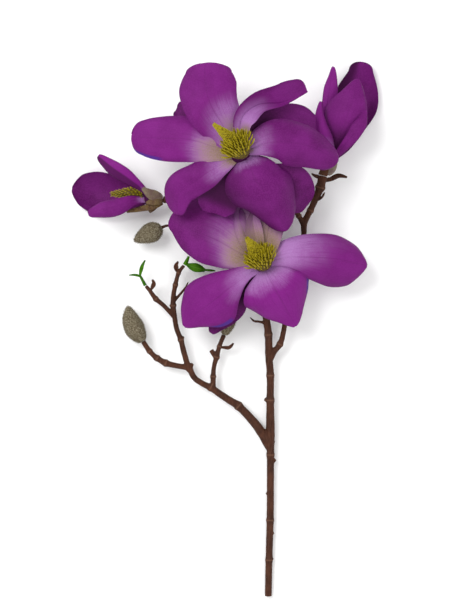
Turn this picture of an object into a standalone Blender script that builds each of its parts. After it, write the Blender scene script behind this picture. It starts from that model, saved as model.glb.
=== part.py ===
"""Magnolia branch lying on its back, blooms facing up.

Sizes are in millimetres and are made metres where a mesh is built. X is to the right, Y runs along the
stem from its cut end to the blooms, Z is up from the surface that the branch lies on.
"""

import math

import bmesh
import bpy
from mathutils import Matrix, Vector
from mathutils.bvhtree import BVHTree

MM = 0.001
GAP = 0.3
PETAL_THICK = 1.0
LEAF_THICK = 0.8
# A tube's bevel resolution: 2 gives 8 sides, 1 gives 6.
THICK_STEM = 2
THIN_STEM = 1
GOLDEN_ANGLE = math.radians(137.508)

# Where each half-width of a petal or leaf is measured, as a share of its length from root to tip.
STATIONS = (0.0, 0.15, 0.35, 0.55, 0.75, 0.9, 1.0)
# No petal or leaf is narrower than this to either side of its midrib.
LEAST_HALF_WIDTH = 0.4
# An edge curls outside this share of the half-width.
TURN_START = 0.65
# Rows and columns of a blade's mesh.
BLADE_ROWS = (0.0, 0.16, 0.34, 0.53, 0.72, 0.87, 0.96, 1.0)
BLADE_COLUMNS = (-1.0, -0.68, -0.34, 0.0, 0.34, 0.68, 1.0)
BACK_COLUMNS = (-1.0, -0.5, 0.0, 0.5, 1.0)
LEAF_ROWS = (0.0, 0.25, 0.5, 0.75, 1.0)
LONG_LEAF_ROWS = (0.0, 0.2, 0.4, 0.6, 0.8, 1.0)
LEAF_COLUMNS = (-1.0, 0.0, 1.0)

COLOURS = {
    "bark": (0.080, 0.040, 0.028, 1.0),
    "petal": (0.185, 0.018, 0.175, 1.0),
    "stamen": (0.300, 0.250, 0.010, 1.0),
    "calyx": (0.150, 0.090, 0.035, 1.0),
    "bud": (0.220, 0.205, 0.135, 1.0),
    "leaf": (0.050, 0.160, 0.008, 1.0),
}


# The scene and its materials.

def clear_scene():
    for found in list(bpy.data.objects):
        bpy.data.objects.remove(found, do_unlink=True)


def material(kind, node):
    made = bpy.data.materials.new(node + "_" + kind)
    made.use_nodes = True
    shader = made.node_tree.nodes["Principled BSDF"]
    shader.inputs["Base Color"].default_value = COLOURS[kind]
    shader.inputs["Roughness"].default_value = 0.6
    made.diffuse_color = COLOURS[kind]
    return made


def new_object(name, mesh):
    made = bpy.data.objects.new(name, mesh)
    bpy.context.scene.collection.objects.link(made)
    return made


# Smooth paths and values.

def catmull(values, position):
    """The smooth value at a position from 0 to len(values) - 1."""
    index = min(int(position), len(values) - 2)
    part = position - index
    before = values[max(index - 1, 0)]
    start = values[index]
    end = values[index + 1]
    after = values[min(index + 2, len(values) - 1)]
    slope_in = (end - before) * 0.5
    slope_out = (after - start) * 0.5
    return (
        start * (2 * part ** 3 - 3 * part ** 2 + 1)
        + slope_in * (part ** 3 - 2 * part ** 2 + part)
        + end * (3 * part ** 2 - 2 * part ** 3)
        + slope_out * (part ** 3 - part ** 2)
    )


def along(points, share):
    return catmull(points, share * (len(points) - 1))


def at_station(values, share, roundness):
    """A petal's half-width at a share of its length, from its values at STATIONS."""
    for index in range(len(STATIONS) - 2):
        if share <= STATIONS[index + 1]:
            part = (share - STATIONS[index]) / (STATIONS[index + 1] - STATIONS[index])
            return max(catmull(values, index + part), LEAST_HALF_WIDTH)
    part = (share - STATIONS[-2]) / (STATIONS[-1] - STATIONS[-2])
    pointed = 1 - part
    rounded = math.sqrt(max(0.0, 1 - part ** 2))
    return values[-1] + (values[-2] - values[-1]) * (pointed + (rounded - pointed) * roundness)


# Petals, leaves and scales.

def edge_path(bend, fold, turn, steps=12):
    """Points of one half of a petal's cross-section, as (across, up) at evenly spaced lengths.

    bend curves it as an arc, fold tips the whole half up at the midrib, turn curls only its outer third.
    """
    full = bend / math.sin(bend) if abs(bend) > 0.01 else 1.0
    across, up = 0.0, 0.0
    points = [(across, up)]
    for step in range(steps):
        share = (step + 0.5) / steps
        curl = max(0.0, (share - TURN_START) / (1 - TURN_START))
        heading = fold + bend * share + turn * curl
        across += full * math.cos(heading) / steps
        up += full * math.sin(heading) / steps
        points.append((across, up))
    return points


def blade(name, spine, left, right=None, bend=(0, 0, 0), fold=(0, 0, 0), roll=(0, 0, 0), turn=(0, 0),
          tip=1.0, thick=PETAL_THICK, rows=BLADE_ROWS, columns=BLADE_COLUMNS):
    """A petal, leaf or scale: a sheet lofted across its midrib, then given its thickness.

    left and right are half-widths at STATIONS, looking from root to tip. bend, fold and roll are in degrees
    at the root, the middle and the tip. turn curls the left and the right edge, in degrees. tip is 1 for a
    round end and 0 for a pointed one.
    """
    right = right or left
    spine = [Vector(point) for point in spine]
    chord = spine[-1] - spine[0]
    flat_left = Vector((-chord.y, chord.x, 0)).normalized()
    sheet = bmesh.new()
    grid = []
    for share in rows:
        here = along(spine, share)
        tangent = (along(spine, min(share + 0.02, 1)) - along(spine, max(share - 0.02, 0))).normalized()
        side = (flat_left - tangent * flat_left.dot(tangent)).normalized()
        face = tangent.cross(side)
        lean = math.radians(catmull(roll, share * 2))
        turned = Matrix.Rotation(-lean, 3, tangent)
        side, face = turned @ side, turned @ face
        bent = math.radians(catmull(bend, share * 2))
        folded = math.radians(catmull(fold, share * 2))
        halves = {
            1: edge_path(bent, folded, math.radians(turn[0])),
            -1: edge_path(bent, folded, math.radians(turn[1])),
        }
        line = []
        for column in columns:
            half = halves[1 if column > 0 else -1]
            width = at_station(left if column > 0 else right, share, tip)
            across, up = catmull([Vector(point) for point in half], abs(column) * (len(half) - 1))
            place = here + side * math.copysign(across * width, column) + face * (up * width)
            line.append(sheet.verts.new(place * MM))
        grid.append(line)
    for row in range(len(rows) - 1):
        for column in range(len(columns) - 1):
            a, b = grid[row][column], grid[row][column + 1]
            c, d = grid[row + 1][column + 1], grid[row + 1][column]
            if column < (len(columns) - 1) // 2:
                sheet.faces.new((a, d, b))
                sheet.faces.new((b, d, c))
            else:
                sheet.faces.new((a, d, c))
                sheet.faces.new((a, c, b))
    mesh = bpy.data.meshes.new(name)
    sheet.to_mesh(mesh)
    sheet.free()
    made = new_object(name, mesh)
    solid = made.modifiers.new("thickness", "SOLIDIFY")
    solid.thickness = thick * MM
    solid.offset = 0
    return applied(made)


# Round pieces.

def tube(name, points, radii, sides=THICK_STEM, smooth=2):
    """A round stem along a smooth path, with its own radius at each point and filled ends."""
    curve = bpy.data.curves.new(name, "CURVE")
    curve.dimensions = "3D"
    curve.bevel_depth = MM
    curve.bevel_resolution = sides
    curve.use_fill_caps = True
    curve.resolution_u = smooth
    spline = curve.splines.new("BEZIER")
    spline.bezier_points.add(len(points) - 1)
    for knot, point, radius in zip(spline.bezier_points, points, radii):
        knot.co = Vector(point) * MM
        knot.radius = radius
        knot.handle_left_type = "AUTO"
        knot.handle_right_type = "AUTO"
    return applied(new_object(name, curve))


def ball(name, centre, radii, segments=12, rings=8):
    bpy.ops.mesh.primitive_uv_sphere_add(segments=segments, ring_count=rings, radius=MM)
    made = bpy.context.object
    made.name = name
    made.data.transform(Matrix.Translation(Vector(centre) * MM) @ Matrix.Diagonal((*radii, 1)))
    return made


def applied(made):
    """The object with its curve or modifiers made a plain closed mesh."""
    bpy.context.view_layer.update()
    mesh = bpy.data.meshes.new_from_object(made.evaluated_get(bpy.context.evaluated_depsgraph_get()))
    name = made.name
    bpy.data.objects.remove(made, do_unlink=True)
    work = bmesh.new()
    work.from_mesh(mesh)
    bmesh.ops.remove_doubles(work, verts=work.verts, dist=1e-6)
    bmesh.ops.recalc_face_normals(work, faces=work.faces)
    work.to_mesh(mesh)
    work.free()
    return new_object(name, mesh)


def fuse(name, pieces, kind):
    """One closed solid from overlapping pieces, with hollows filled and loose scraps dropped."""
    body = pieces[0]
    others = bpy.data.collections.new(name + "_pieces")
    bpy.context.scene.collection.children.link(others)
    for piece in pieces[1:]:
        bpy.context.scene.collection.objects.unlink(piece)
        others.objects.link(piece)
    if len(pieces) > 1:
        union = body.modifiers.new("union", "BOOLEAN")
        union.operation = "UNION"
        union.operand_type = "COLLECTION"
        union.collection = others
        union.solver = "MANIFOLD"
    bpy.context.view_layer.update()
    mesh = bpy.data.meshes.new_from_object(body.evaluated_get(bpy.context.evaluated_depsgraph_get()))
    for piece in pieces:
        bpy.data.objects.remove(piece, do_unlink=True)
    bpy.data.collections.remove(others)
    keep_largest_body(mesh)
    mesh.materials.clear()
    mesh.materials.append(material(kind, name))
    return new_object(name, mesh)


def keep_largest_body(mesh):
    work = bmesh.new()
    work.from_mesh(mesh)
    bmesh.ops.remove_doubles(work, verts=work.verts, dist=2e-6)
    bmesh.ops.dissolve_degenerate(work, edges=work.edges, dist=2e-6)
    bmesh.ops.triangulate(work, faces=work.faces)
    seen = set()
    bodies = []
    for start in work.verts:
        if start in seen:
            continue
        seen.add(start)
        body = [start]
        for vert in body:
            for edge in vert.link_edges:
                other = edge.other_vert(vert)
                if other not in seen:
                    seen.add(other)
                    body.append(other)
        bodies.append(body)
    bodies.sort(key=len)
    for body in bodies[:-1]:
        bmesh.ops.delete(work, geom=body, context="VERTS")
    work.to_mesh(mesh)
    work.free()


# The woody branch.

def ring(path, radii, index, sides, swell=1.25):
    """The raised ring at a knot of a stem."""
    here = Vector(path[index])
    way = (Vector(path[min(index + 1, len(path) - 1)]) - Vector(path[max(index - 1, 0)])).normalized()
    radius = radii[index]
    points = [here - way * radius * 0.8, here, here + way * radius * 0.8]
    return tube("ring", points, (radius * 0.9, radius * swell, radius * 0.9), sides, smooth=1)


def stem(path, radii, knots=(), sides=THICK_STEM):
    """A stem with its node rings. A path of many points is smooth enough with one step between them."""
    steps = 1 if len(path) > 8 else 2
    made = [tube("stem", path, radii, sides, smooth=steps)]
    for index in knots:
        made.append(ring(path, radii, index, sides))
    return made


def make_branch():
    main = [(40.3, -249, 3.3), (41, -215, 4.6), (42, -178, 5.5), (42.3, -150, 6.1), (42.3, -117, 7),
            (42.2, -97, 7.8), (42.1, -66, 9.5), (42.1, -43, 11), (40.8, -24, 12.5), (40.3, -5, 14),
            (38, 12, 17), (36, 30, 20), (35, 46, 23), (34, 59.8, 32), (34, 60, 39)]
    main_radii = (3.3, 3.3, 3.4, 3.4, 3.5, 4.2, 3.6, 3.5, 3.6, 3.5, 3.4, 3.3, 3.4, 3.8, 4.6)
    pieces = stem(main, main_radii, knots=(1, 2, 4, 6, 7, 9))

    left = [(41.5, -110, 6.6), (33.5, -95.5, 7.5), (25, -84.5, 8.2), (12.5, -71.5, 9), (5, -66.8, 9.5),
            (-4.5, -60.4, 10), (-13.5, -54.3, 10.5), (-21.5, -50.3, 11), (-28.8, -44.8, 11.5), (-33, -36, 12)]
    pieces += stem(left, (4.2, 4.4, 4.0, 3.7, 3.5, 3.3, 3.1, 2.8, 2.8, 2.9), knots=(3, 6))

    up_twig = [(-33, -39, 12), (-38, -22, 13), (-41, -10, 13.5), (-45, 1, 14), (-47, 13, 15), (-48, 22, 16),
               (-48, 30, 17), (-46, 41, 18), (-43, 52, 18.5), (-38, 59, 18.5)]
    pieces += stem(up_twig, (2.6, 2.7, 2.5, 2.4, 2.4, 2.5, 2.3, 2.2, 1.9, 1.7), knots=(2, 5, 7, 8))

    bud_twig = [(-33, -36, 12), (-45, -34, 12), (-55, -31.5, 12), (-63, -27, 12.5), (-70, -20.5, 13),
                (-76, -11.5, 14)]
    pieces += stem(bud_twig, (2.8, 2.6, 2.9, 2.6, 2.4, 2.4), knots=(2, 3, 4))

    middle_twig = [(-11, -58, 10.5), (-11, -44, 11), (-10, -34, 11.5), (-7.8, -26, 12), (-5.2, -16, 12.5),
                   (-1, -5.5, 12.5)]
    pieces += stem(middle_twig, (2.8, 2.4, 2.2, 2.5, 2.1, 2.2), knots=(1, 3, 4))

    thin_twig = [(-46, 10, 15), (-56, 21, 15.5), (-64, 28, 16), (-70, 36, 16.5), (-73.5, 40, 17)]
    pieces += stem(thin_twig, (2.2, 2.1, 2.3, 1.9, 1.7), knots=(2,), sides=THIN_STEM)

    side_twig = [(-48, 25, 16.5), (-42, 32, 16), (-37, 38, 15), (-34, 44, 15)]
    pieces += stem(side_twig, (1.6, 1.3, 1.1, 0.5), sides=THIN_STEM)

    right = [(40.5, -33, 11.5), (45, -22, 12.5), (51, -14, 13.5), (54, -4, 14.5), (56, 7, 15.5), (61, 27, 17),
             (67, 50, 18), (71, 70, 19), (73, 85, 20), (73.5, 98, 21), (79, 110, 22), (84, 121, 23),
             (88, 131, 23.5), (90.5, 141.8, 24)]
    pieces += stem(right, (2.8, 2.8, 2.7, 2.5, 2.4, 2.5, 2.6, 2.6, 2.5, 3.0, 2.8, 3.1, 3.9, 4.2),
                   knots=(2, 8, 10, 12))

    upper_stalk = [(73, 95, 21), (68, 105, 24), (56, 120, 34), (40, 138, 50), (22, 154, 58), (15, 160, 63),
                   (14, 161, 69.7)]
    pieces += stem(upper_stalk, (2.4, 2.3, 2.4, 2.6, 3.2, 3.8, 4.6), knots=(1,))

    left_stalk = [(36.5, 26, 20), (23, 41, 20), (6, 69, 20), (-10, 92, 20), (-27, 108, 20), (-42, 117, 20),
                  (-51, 119.5, 21), (-57, 120, 22)]
    pieces += stem(left_stalk, (2.4, 2.3, 2.3, 2.3, 2.3, 2.4, 3.2, 3.4), knots=(6,))

    bud_stalk = [(-18, 102, 19), (-33, 97, 18), (-46, 96, 18), (-54, 95.9, 18), (-58.7, 94.1, 18)]
    pieces += stem(bud_stalk, (1.3, 1.2, 1.2, 1.3, 1.6), sides=THIN_STEM)

    pieces += make_spurs()
    pieces += make_scales()
    return fuse("branch", pieces, "bark")


def make_spurs():
    """Cut-back side shoots: short stubs with a blunt end."""
    spurs = [
        ((42, -68, 9), (36.5, -65, 9.5), 2.4, 1.5),
        ((42.3, -106, 7.4), (46, -103.5, 7.8), 2.6, 1.6),
        ((-8, -27, 12), (-13, -19.5, 12.5), 2.4, 2.2),
        ((41, -217, 4.6), (44.4, -213, 5.2), 2.4, 1.3),
        ((41.5, -192, 5.2), (45.2, -189, 5.8), 2.6, 1.5),
        ((42.3, -156, 6.1), (38.6, -152, 6.6), 2.4, 1.4),
        ((42.3, -125, 6.8), (46.9, -121, 7.4), 2.6, 1.7),
        ((-41, -10, 13.5), (-38, -7, 14), 1.8, 1.0),
        ((-48, 22, 16), (-51.5, 21.5, 16), 1.8, 0.9),
        ((-63, -27, 12.5), (-66.5, -28, 12.5), 1.8, 0.9),
        ((-33, -36, 12), (-30, -32, 12.5), 2.6, 1.6),
    ]
    return [tube("spur", (start, end), (wide, thin), sides=THIN_STEM, smooth=1)
            for start, end, wide, thin in spurs]


def make_scales():
    """Hooked bud scales and the two bracts below the right bloom."""
    made = [
        tube("hook", [(36, 6, 15), (31, 7, 15.5), (27, 7.5, 16), (23, 11, 17)], (1.4, 1.2, 1.1, 0.5),
             sides=THIN_STEM, smooth=1),
        tube("hook", [(83, 119, 23), (88, 120.5, 25), (91, 124, 26), (92, 127, 27)], (1.4, 1.1, 1.1, 0.5),
             sides=THIN_STEM, smooth=1),
    ]
    leaf_like = dict(thick=LEAF_THICK, rows=LEAF_ROWS, columns=LEAF_COLUMNS)
    made.append(blade("scale", [(-42.8, 51.5, 18.5), (-44.7, 55, 19), (-45.3, 59, 19), (-43.3, 62.8, 19)],
                      (0.9, 1.2, 2.0, 2.4, 1.7, 1.0, 0.4), fold=(20, 20, 20), **leaf_like))
    made.append(blade("scale", [(-6, -17, 12.5), (-1, -17, 13), (4, -17, 14), (8, -13, 14)],
                      (0.9, 1.0, 1.4, 1.8, 1.6, 1.0, 0.4), fold=(20, 20, 20), **leaf_like))
    made.append(blade("scale", [(-69.5, 35, 16.5), (-67.3, 39, 17), (-66, 42.5, 17), (-67.5, 46, 17)],
                      (0.8, 1.0, 1.8, 2.2, 1.6, 1.0, 0.4), fold=(20, 20, 20), **leaf_like))
    made.append(blade("bract", [(91, 137.5, 23), (98, 139, 23), (105, 142, 24), (113, 140.5, 25)],
                      (1.8, 1.9, 2.2, 2.4, 2.0, 1.2, 0.4), fold=(-15, -15, -15), **leaf_like))
    made.append(blade("bract", [(90, 139, 24), (86, 141, 25), (83, 142, 25.5), (80, 144, 26)],
                      (1.4, 1.6, 1.8, 1.6, 1.2, 0.8, 0.4), fold=(-15, -15, -15), **leaf_like))
    return made


# The open blooms.

UPPER_SEAT = Vector((14, 161, 77))
UPPER_SEAT_RADII = (10, 10, 7)
LOWER_SEAT = Vector((34, 60, 46))
LOWER_SEAT_RADII = (9, 9, 6.5)


def make_upper_petals():
    petals = [
        ball("seat", UPPER_SEAT, UPPER_SEAT_RADII),
        blade("top", [(10, 165, 78), (1, 181, 80), (-12, 202, 85), (-18, 223, 83), (-18, 243, 72)],
              (7, 14, 21.5, 24.5, 24.5, 18.5, 7), (6, 13, 21.5, 26, 28, 23.5, 9), bend=(20, -15, -30)),
        blade("left", [(8, 162, 78), (-12, 167, 80), (-34, 173, 80), (-59, 174, 75), (-85.5, 176, 64)],
              (7, 12, 18.5, 21, 20, 15.5, 3), (7, 14, 19, 21, 20.5, 16, 3), bend=(10, -30, -30), tip=0.8),
        blade("lower_left", [(9, 157, 77), (-9, 147, 80), (-27, 135, 79), (-42, 123, 69), (-43, 105, 58)],
              (5, 9, 13.5, 13.5, 13, 8.5, 2), (5, 10, 13.5, 16, 17, 13.5, 2), bend=(0, -40, -30), tip=0.6),
        blade("lower_centre", [(18, 157, 78), (23, 146, 87), (30, 132, 90), (42, 116, 85), (56, 90, 66)],
              (6, 18, 26, 30, 30, 20, 2), (7, 25, 31, 31, 27, 15, 2),
              bend=(-20, -55, -50), fold=(0, -8, -8), tip=0.5),
        blade("right", [(19, 162, 78), (35, 168, 87), (55, 170, 90), (81, 165, 83), (103, 153, 68)],
              (6, 16, 22, 22, 19, 14, 3), (4, 8, 14.5, 22, 20, 14, 3),
              bend=(-10, -50, -50), fold=(0, -6, -6), tip=0.7),
        blade("folded", [(14, 167, 78), (15, 191, 83), (30, 204, 82), (53, 206.5, 78), (75, 217, 72)],
              (4, 6, 10.5, 15, 19.5, 16.5, 6), (5, 11, 15, 10.5, 4, 1.5, 0.6),
              bend=(0, 10, 0), fold=(20, 35, 25), tip=0.8),
        blade("back_right", [(18, 166, 76), (39, 185, 74), (57, 192, 68), (72, 192, 60), (83, 189, 52)],
              (5, 11, 13.5, 13.5, 11.5, 8, 3), (5, 11, 13.5, 13.5, 12.5, 10, 4),
              bend=(0, 25, 20), columns=BACK_COLUMNS),
        blade("back_left", [(9, 166, 75), (-10, 180, 73), (-23, 189, 68), (-35, 198, 62), (-44.5, 202, 56)],
              (5, 9, 11, 12, 10.5, 8, 4), bend=(0, 20, 10), columns=BACK_COLUMNS),
        blade("back_low_right", [(19, 157, 75), (43, 145, 72), (60, 137, 64), (70, 124, 54), (67, 107, 45)],
              (2, 3.5, 11, 15.5, 12.5, 6.5, 1.5), (5, 11, 14, 15, 12, 6.5, 1.5),
              bend=(0, 20, 10), tip=0.5, columns=BACK_COLUMNS),
        blade("back_low", [(11, 154, 75), (3, 134, 72), (-3, 122, 66), (-7, 113, 61), (-9, 106, 57)],
              (5, 11, 15, 17, 16, 12, 6), (5, 11, 16, 19, 18, 12.5, 6), bend=(0, 25, 20),
              columns=BACK_COLUMNS),
    ]
    return fuse("upper_petals", petals, "petal")


def make_lower_petals():
    petals = [
        ball("seat", LOWER_SEAT, LOWER_SEAT_RADII),
        blade("left", [(29, 62, 49), (10, 72, 55), (-10, 83, 55), (-31, 92, 47), (-50, 104, 38)],
              (7, 15, 22, 25, 20.5, 11.5, 3), (8, 24, 34, 40, 39.5, 28, 5), bend=(-10, -35, -35), tip=0.8),
        blade("back_left", [(30, 65, 48), (25, 79, 52), (20, 93, 51), (16, 108, 46), (12, 123, 42)],
              (4, 9, 12, 12, 9, 6, 2), (4, 10, 14, 15, 13, 9, 2), bend=(0, 0, 0), fold=(20, 25, 20)),
        blade("back_right", [(36, 65, 48), (38, 79, 53), (40, 93, 53), (45, 108, 48), (51, 123, 42)],
              (5, 13, 20, 21, 17, 9, 2), (5, 10, 13, 14, 12, 7, 2), bend=(10, 15, 10)),
        blade("right", [(39, 62, 49), (59, 66, 55), (81, 66, 55), (106, 64, 47), (131, 58.5, 36)],
              (6, 15, 20.5, 23.5, 24, 17, 2), (5, 8, 16, 23, 27, 21.5, 2),
              bend=(-10, -50, -50), fold=(0, -6, -6), tip=0.2),
        blade("centre", [(36, 56, 49), (42, 44, 59), (49, 31, 58), (57, 17, 48), (65.5, 3, 36)],
              (6, 20, 30, 35, 26.5, 12, 2), (6, 25, 31, 30, 21.5, 9, 2), bend=(-10, -50, -45), tip=0.3),
        blade("lower_left", [(29, 56, 49), (11, 43, 57), (-6, 30, 56), (-23, 17, 47), (-38, 3, 36)],
              (5, 5, 14.5, 25.5, 23, 9.5, 2), (6, 11, 19, 24, 25, 14, 2),
              bend=(-10, -45, -40), tip=0.4),
        blade("back_low", [(30, 54, 45), (14, 36, 44), (5, 23, 40), (-3, 11, 34), (-13, -3.5, 28)],
              (4, 8, 13, 15, 12, 6, 1.5), bend=(0, -20, -10), tip=0.4, columns=BACK_COLUMNS),
    ]
    return fuse("lower_petals", petals, "petal")


# The left half-open bloom and the right upright one.

SIDE_SEAT = Vector((-70, 120, 22))
SIDE_SEAT_RADII = (6.1, 5.5, 6)
TULIP_SEAT = Vector((98, 156, 26))
TULIP_SEAT_RADII = (6, 6, 7)


def make_side_petals():
    petals = [
        ball("seat", SIDE_SEAT, SIDE_SEAT_RADII),
        blade("back", [(-70, 120, 18), (-88, 122, 9), (-107, 125, 2.2), (-124, 128, 0.63),
                       (-142.5, 130, 5)],
              (3, 9, 17, 21, 20, 13.5, 2), (3, 9, 16.5, 19, 18.5, 14, 2), bend=(20, 50, 45), tip=0.15),
        blade("top", [(-70, 122, 24), (-79.5, 132.5, 31), (-90, 141, 35), (-103, 150, 35),
                      (-117, 160.5, 28)],
              (2, 2.5, 6, 8.5, 8.5, 5.5, 1.5), (3, 3.5, 4.5, 6, 5.5, 3.5, 1), bend=(-10, -30, -20),
              roll=(5, 15, 10), tip=0.5),
        blade("front", [(-73.5, 119.5, 25), (-86, 118, 36), (-100, 112.5, 41), (-114, 109.5, 41),
                        (-126, 106, 36)],
              (2.2, 3.5, 7, 8, 7, 4.5, 1.5), (2.5, 4.5, 6.5, 8, 7.5, 5, 1.5), bend=(-30, -60, -50), tip=0.6),
    ]
    return fuse("left_bloom_petals", petals, "petal")


def make_tulip_petals():
    petals = [
        ball("seat", TULIP_SEAT, TULIP_SEAT_RADII),
        blade("back", [(99, 158, 20), (112, 180, 6), (120, 202, 0.9), (125, 225, 0.9), (127, 248.5, 8)],
              (4, 10, 16, 19, 19.2, 11, 1.5), (4, 10, 14.5, 20, 17.6, 11.5, 1.5), bend=(20, 50, 45)),
        blade("front", [(100, 160, 27), (107, 181, 36), (113, 197, 40), (118, 214, 41), (122, 230.5, 36)],
              (3, 11, 19, 20.5, 14.5, 7, 1), (3, 8, 15, 17, 13, 7, 1), bend=(-30, -50, -40), tip=0.15),
        blade("narrow", [(96, 160, 26), (93, 184, 28), (94, 203, 28), (97, 223, 27), (100, 243, 23)],
              (3, 6, 6, 5, 5.5, 2.5, 0.8), (3, 7, 9, 8.5, 7.5, 4.2, 0.8), bend=(-10, -30, -20), tip=0.3),
        blade("lower_left", [(96, 157, 32), (92, 172, 42), (88, 185, 44), (87, 198, 41), (88, 210, 36)],
              (3, 7, 7, 5.5, 4, 2.3, 0.8), (3, 8, 9, 7.5, 4.5, 2.5, 1), bend=(-20, -60, -40), turn=(0, -40),
              tip=0.3),
        blade("lower_right", [(100, 158, 32), (111, 171, 42), (120, 181, 45), (127, 190, 43),
                              (130, 202, 37)],
              (2, 3, 4.8, 7.2, 7, 4, 1), (2, 4.5, 6, 5.5, 4, 2, 1), bend=(-20, -40, -30), tip=0.4),
    ]
    return fuse("right_bloom_petals", petals, "petal")


# Stamens.

# Where the bristles stand on their cone, as shares of its length.
BRISTLES_FROM = 0.12
BRISTLES_TO = 0.96
# How thick a bristle is at its foot, its middle and its end.
BRISTLE_RADII = (1.0, 0.8, 0.45)
# A bristle in the way of a petal is turned up by this many degrees at a time.
TURN_UP = 9


def stamen_cone(name, path, radii, count, reach, spread, clear_of):
    """A cone set with bristly stamens, placed round it by the golden angle.

    reach and spread are each bristle's length and its angle from the cone's axis, at the foot and at the tip.
    A bristle that would touch a petal is turned up until it clears it.
    """
    path = [Vector(point) for point in path]
    pieces = [tube("core", path, radii, sides=THIN_STEM)]
    petals = [BVHTree.FromObject(petal, bpy.context.evaluated_depsgraph_get()) for petal in clear_of]
    for index in range(count):
        share = BRISTLES_FROM + (index + 0.5) / count * (BRISTLES_TO - BRISTLES_FROM)
        root = along(path, share)
        axis = (along(path, min(share + 0.05, 1)) - along(path, share - 0.05)).normalized()
        round_axis = Matrix.Rotation(index * GOLDEN_ANGLE, 3, axis) @ axis.orthogonal().normalized()
        length = reach[0] + (reach[1] - reach[0]) * share
        lean = spread[0] + (spread[1] - spread[0]) * share
        for lean_now in range(int(lean), 0, -TURN_UP):
            angle = math.radians(lean_now)
            way = axis * math.cos(angle) + round_axis * math.sin(angle)
            rise = axis * math.cos(angle * 0.6) + round_axis * math.sin(angle * 0.6)
            middle = root + way * length * 0.6
            end = middle + rise * length * 0.4
            if clear(petals, (middle, root.lerp(middle, 0.5), end, middle.lerp(end, 0.5))):
                pieces.append(tube("bristle", [root, middle, end], BRISTLE_RADII, sides=0, smooth=1))
                break
    return fuse(name, pieces, "stamen")


def clear(trees, points, room=1.2):
    return all(tree.find_nearest(point * MM, room * MM)[0] is None for tree in trees for point in points)


# Calyx, buds and green shoots.

def make_left_calyx():
    cup = tube("cup", [(-57.3 - GAP, 120, 22), (-60, 120, 22), (-63.5, 120, 22)], (3.4, 4.6, 5.4), smooth=1)
    lobes = [
        blade("upper_lobe", [(-58, 121, 26), (-63, 122.5, 30.5), (-69, 125, 34), (-76, 130, 37)],
              (2.5, 4, 4.8, 4.8, 3.6, 2, 0.6), bend=(-40, -40, -40), thick=LEAF_THICK, rows=LEAF_ROWS,
              columns=BACK_COLUMNS),
        blade("middle_lobe", [(-58, 119, 26), (-63, 118.5, 30), (-68, 117.5, 31), (-73, 116.5, 31)],
              (2.4, 3.6, 3.8, 3.4, 2.6, 1.4, 0.6), bend=(-40, -40, -40), thick=LEAF_THICK, rows=LEAF_ROWS,
              columns=BACK_COLUMNS),
        blade("lower_lobe", [(-58, 117.5, 24), (-67.5, 113.3, 28), (-78, 111.3, 25.8), (-91, 108.5, 26.5)],
              (2.4, 2.8, 3.0, 2.7, 2.2, 1.4, 0.6), bend=(-40, -40, -40), thick=LEAF_THICK,
              rows=LEAF_ROWS, columns=BACK_COLUMNS),
        tube("bract", [(-61, 118, 22), (-66, 112, 22), (-70, 108.5, 21)], (2.6, 2.2, 1.4), smooth=1,
             sides=THIN_STEM),
    ]
    return fuse("left_bloom_calyx", [cup] + lobes, "calyx")


def make_right_calyx():
    cup = tube("cup", [(90.6, 142.3, 24), (91, 143.9, 24.2), (92.4, 146, 24.8), (95, 148.6, 25.2)],
               (4.2, 4.3, 4.6, 4.8), smooth=1)
    lobes = [
        blade("lobe", [(95, 143, 27), (98.5, 147, 30.5), (101, 151, 33), (103, 156, 35.5)],
              (2.2, 3.0, 3.2, 2.8, 2.0, 1.2, 0.6), bend=(-30, -30, -30), thick=LEAF_THICK, rows=LEAF_ROWS,
              columns=BACK_COLUMNS),
    ]
    return fuse("right_bloom_calyx", [cup] + lobes, "calyx")


# A bud's outline: share of its length, share of its greatest radius, share of its bow to one side.
BUD_SHAPE = (
    (0.0, 0.38, 0.0),
    (0.12, 0.72, 0.4),
    (0.35, 1.0, 1.0),
    (0.62, 0.86, 1.0),
    (0.86, 0.5, 0.4),
    (1.0, 0.16, 0.0),
)
ROUND_BUD = 4


def make_bud(name, base, tip, radius, lean):
    """A furry bud: a teardrop, fullest near its base, with its point bent a little."""
    base, tip, bow = Vector(base), Vector(tip), Vector(lean)
    points = [base.lerp(tip, share) + bow * bowed for share, wide, bowed in BUD_SHAPE]
    radii = [radius * wide for share, wide, bowed in BUD_SHAPE]
    return fuse(name, [tube(name, points, radii, sides=ROUND_BUD)], "bud")


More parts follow.
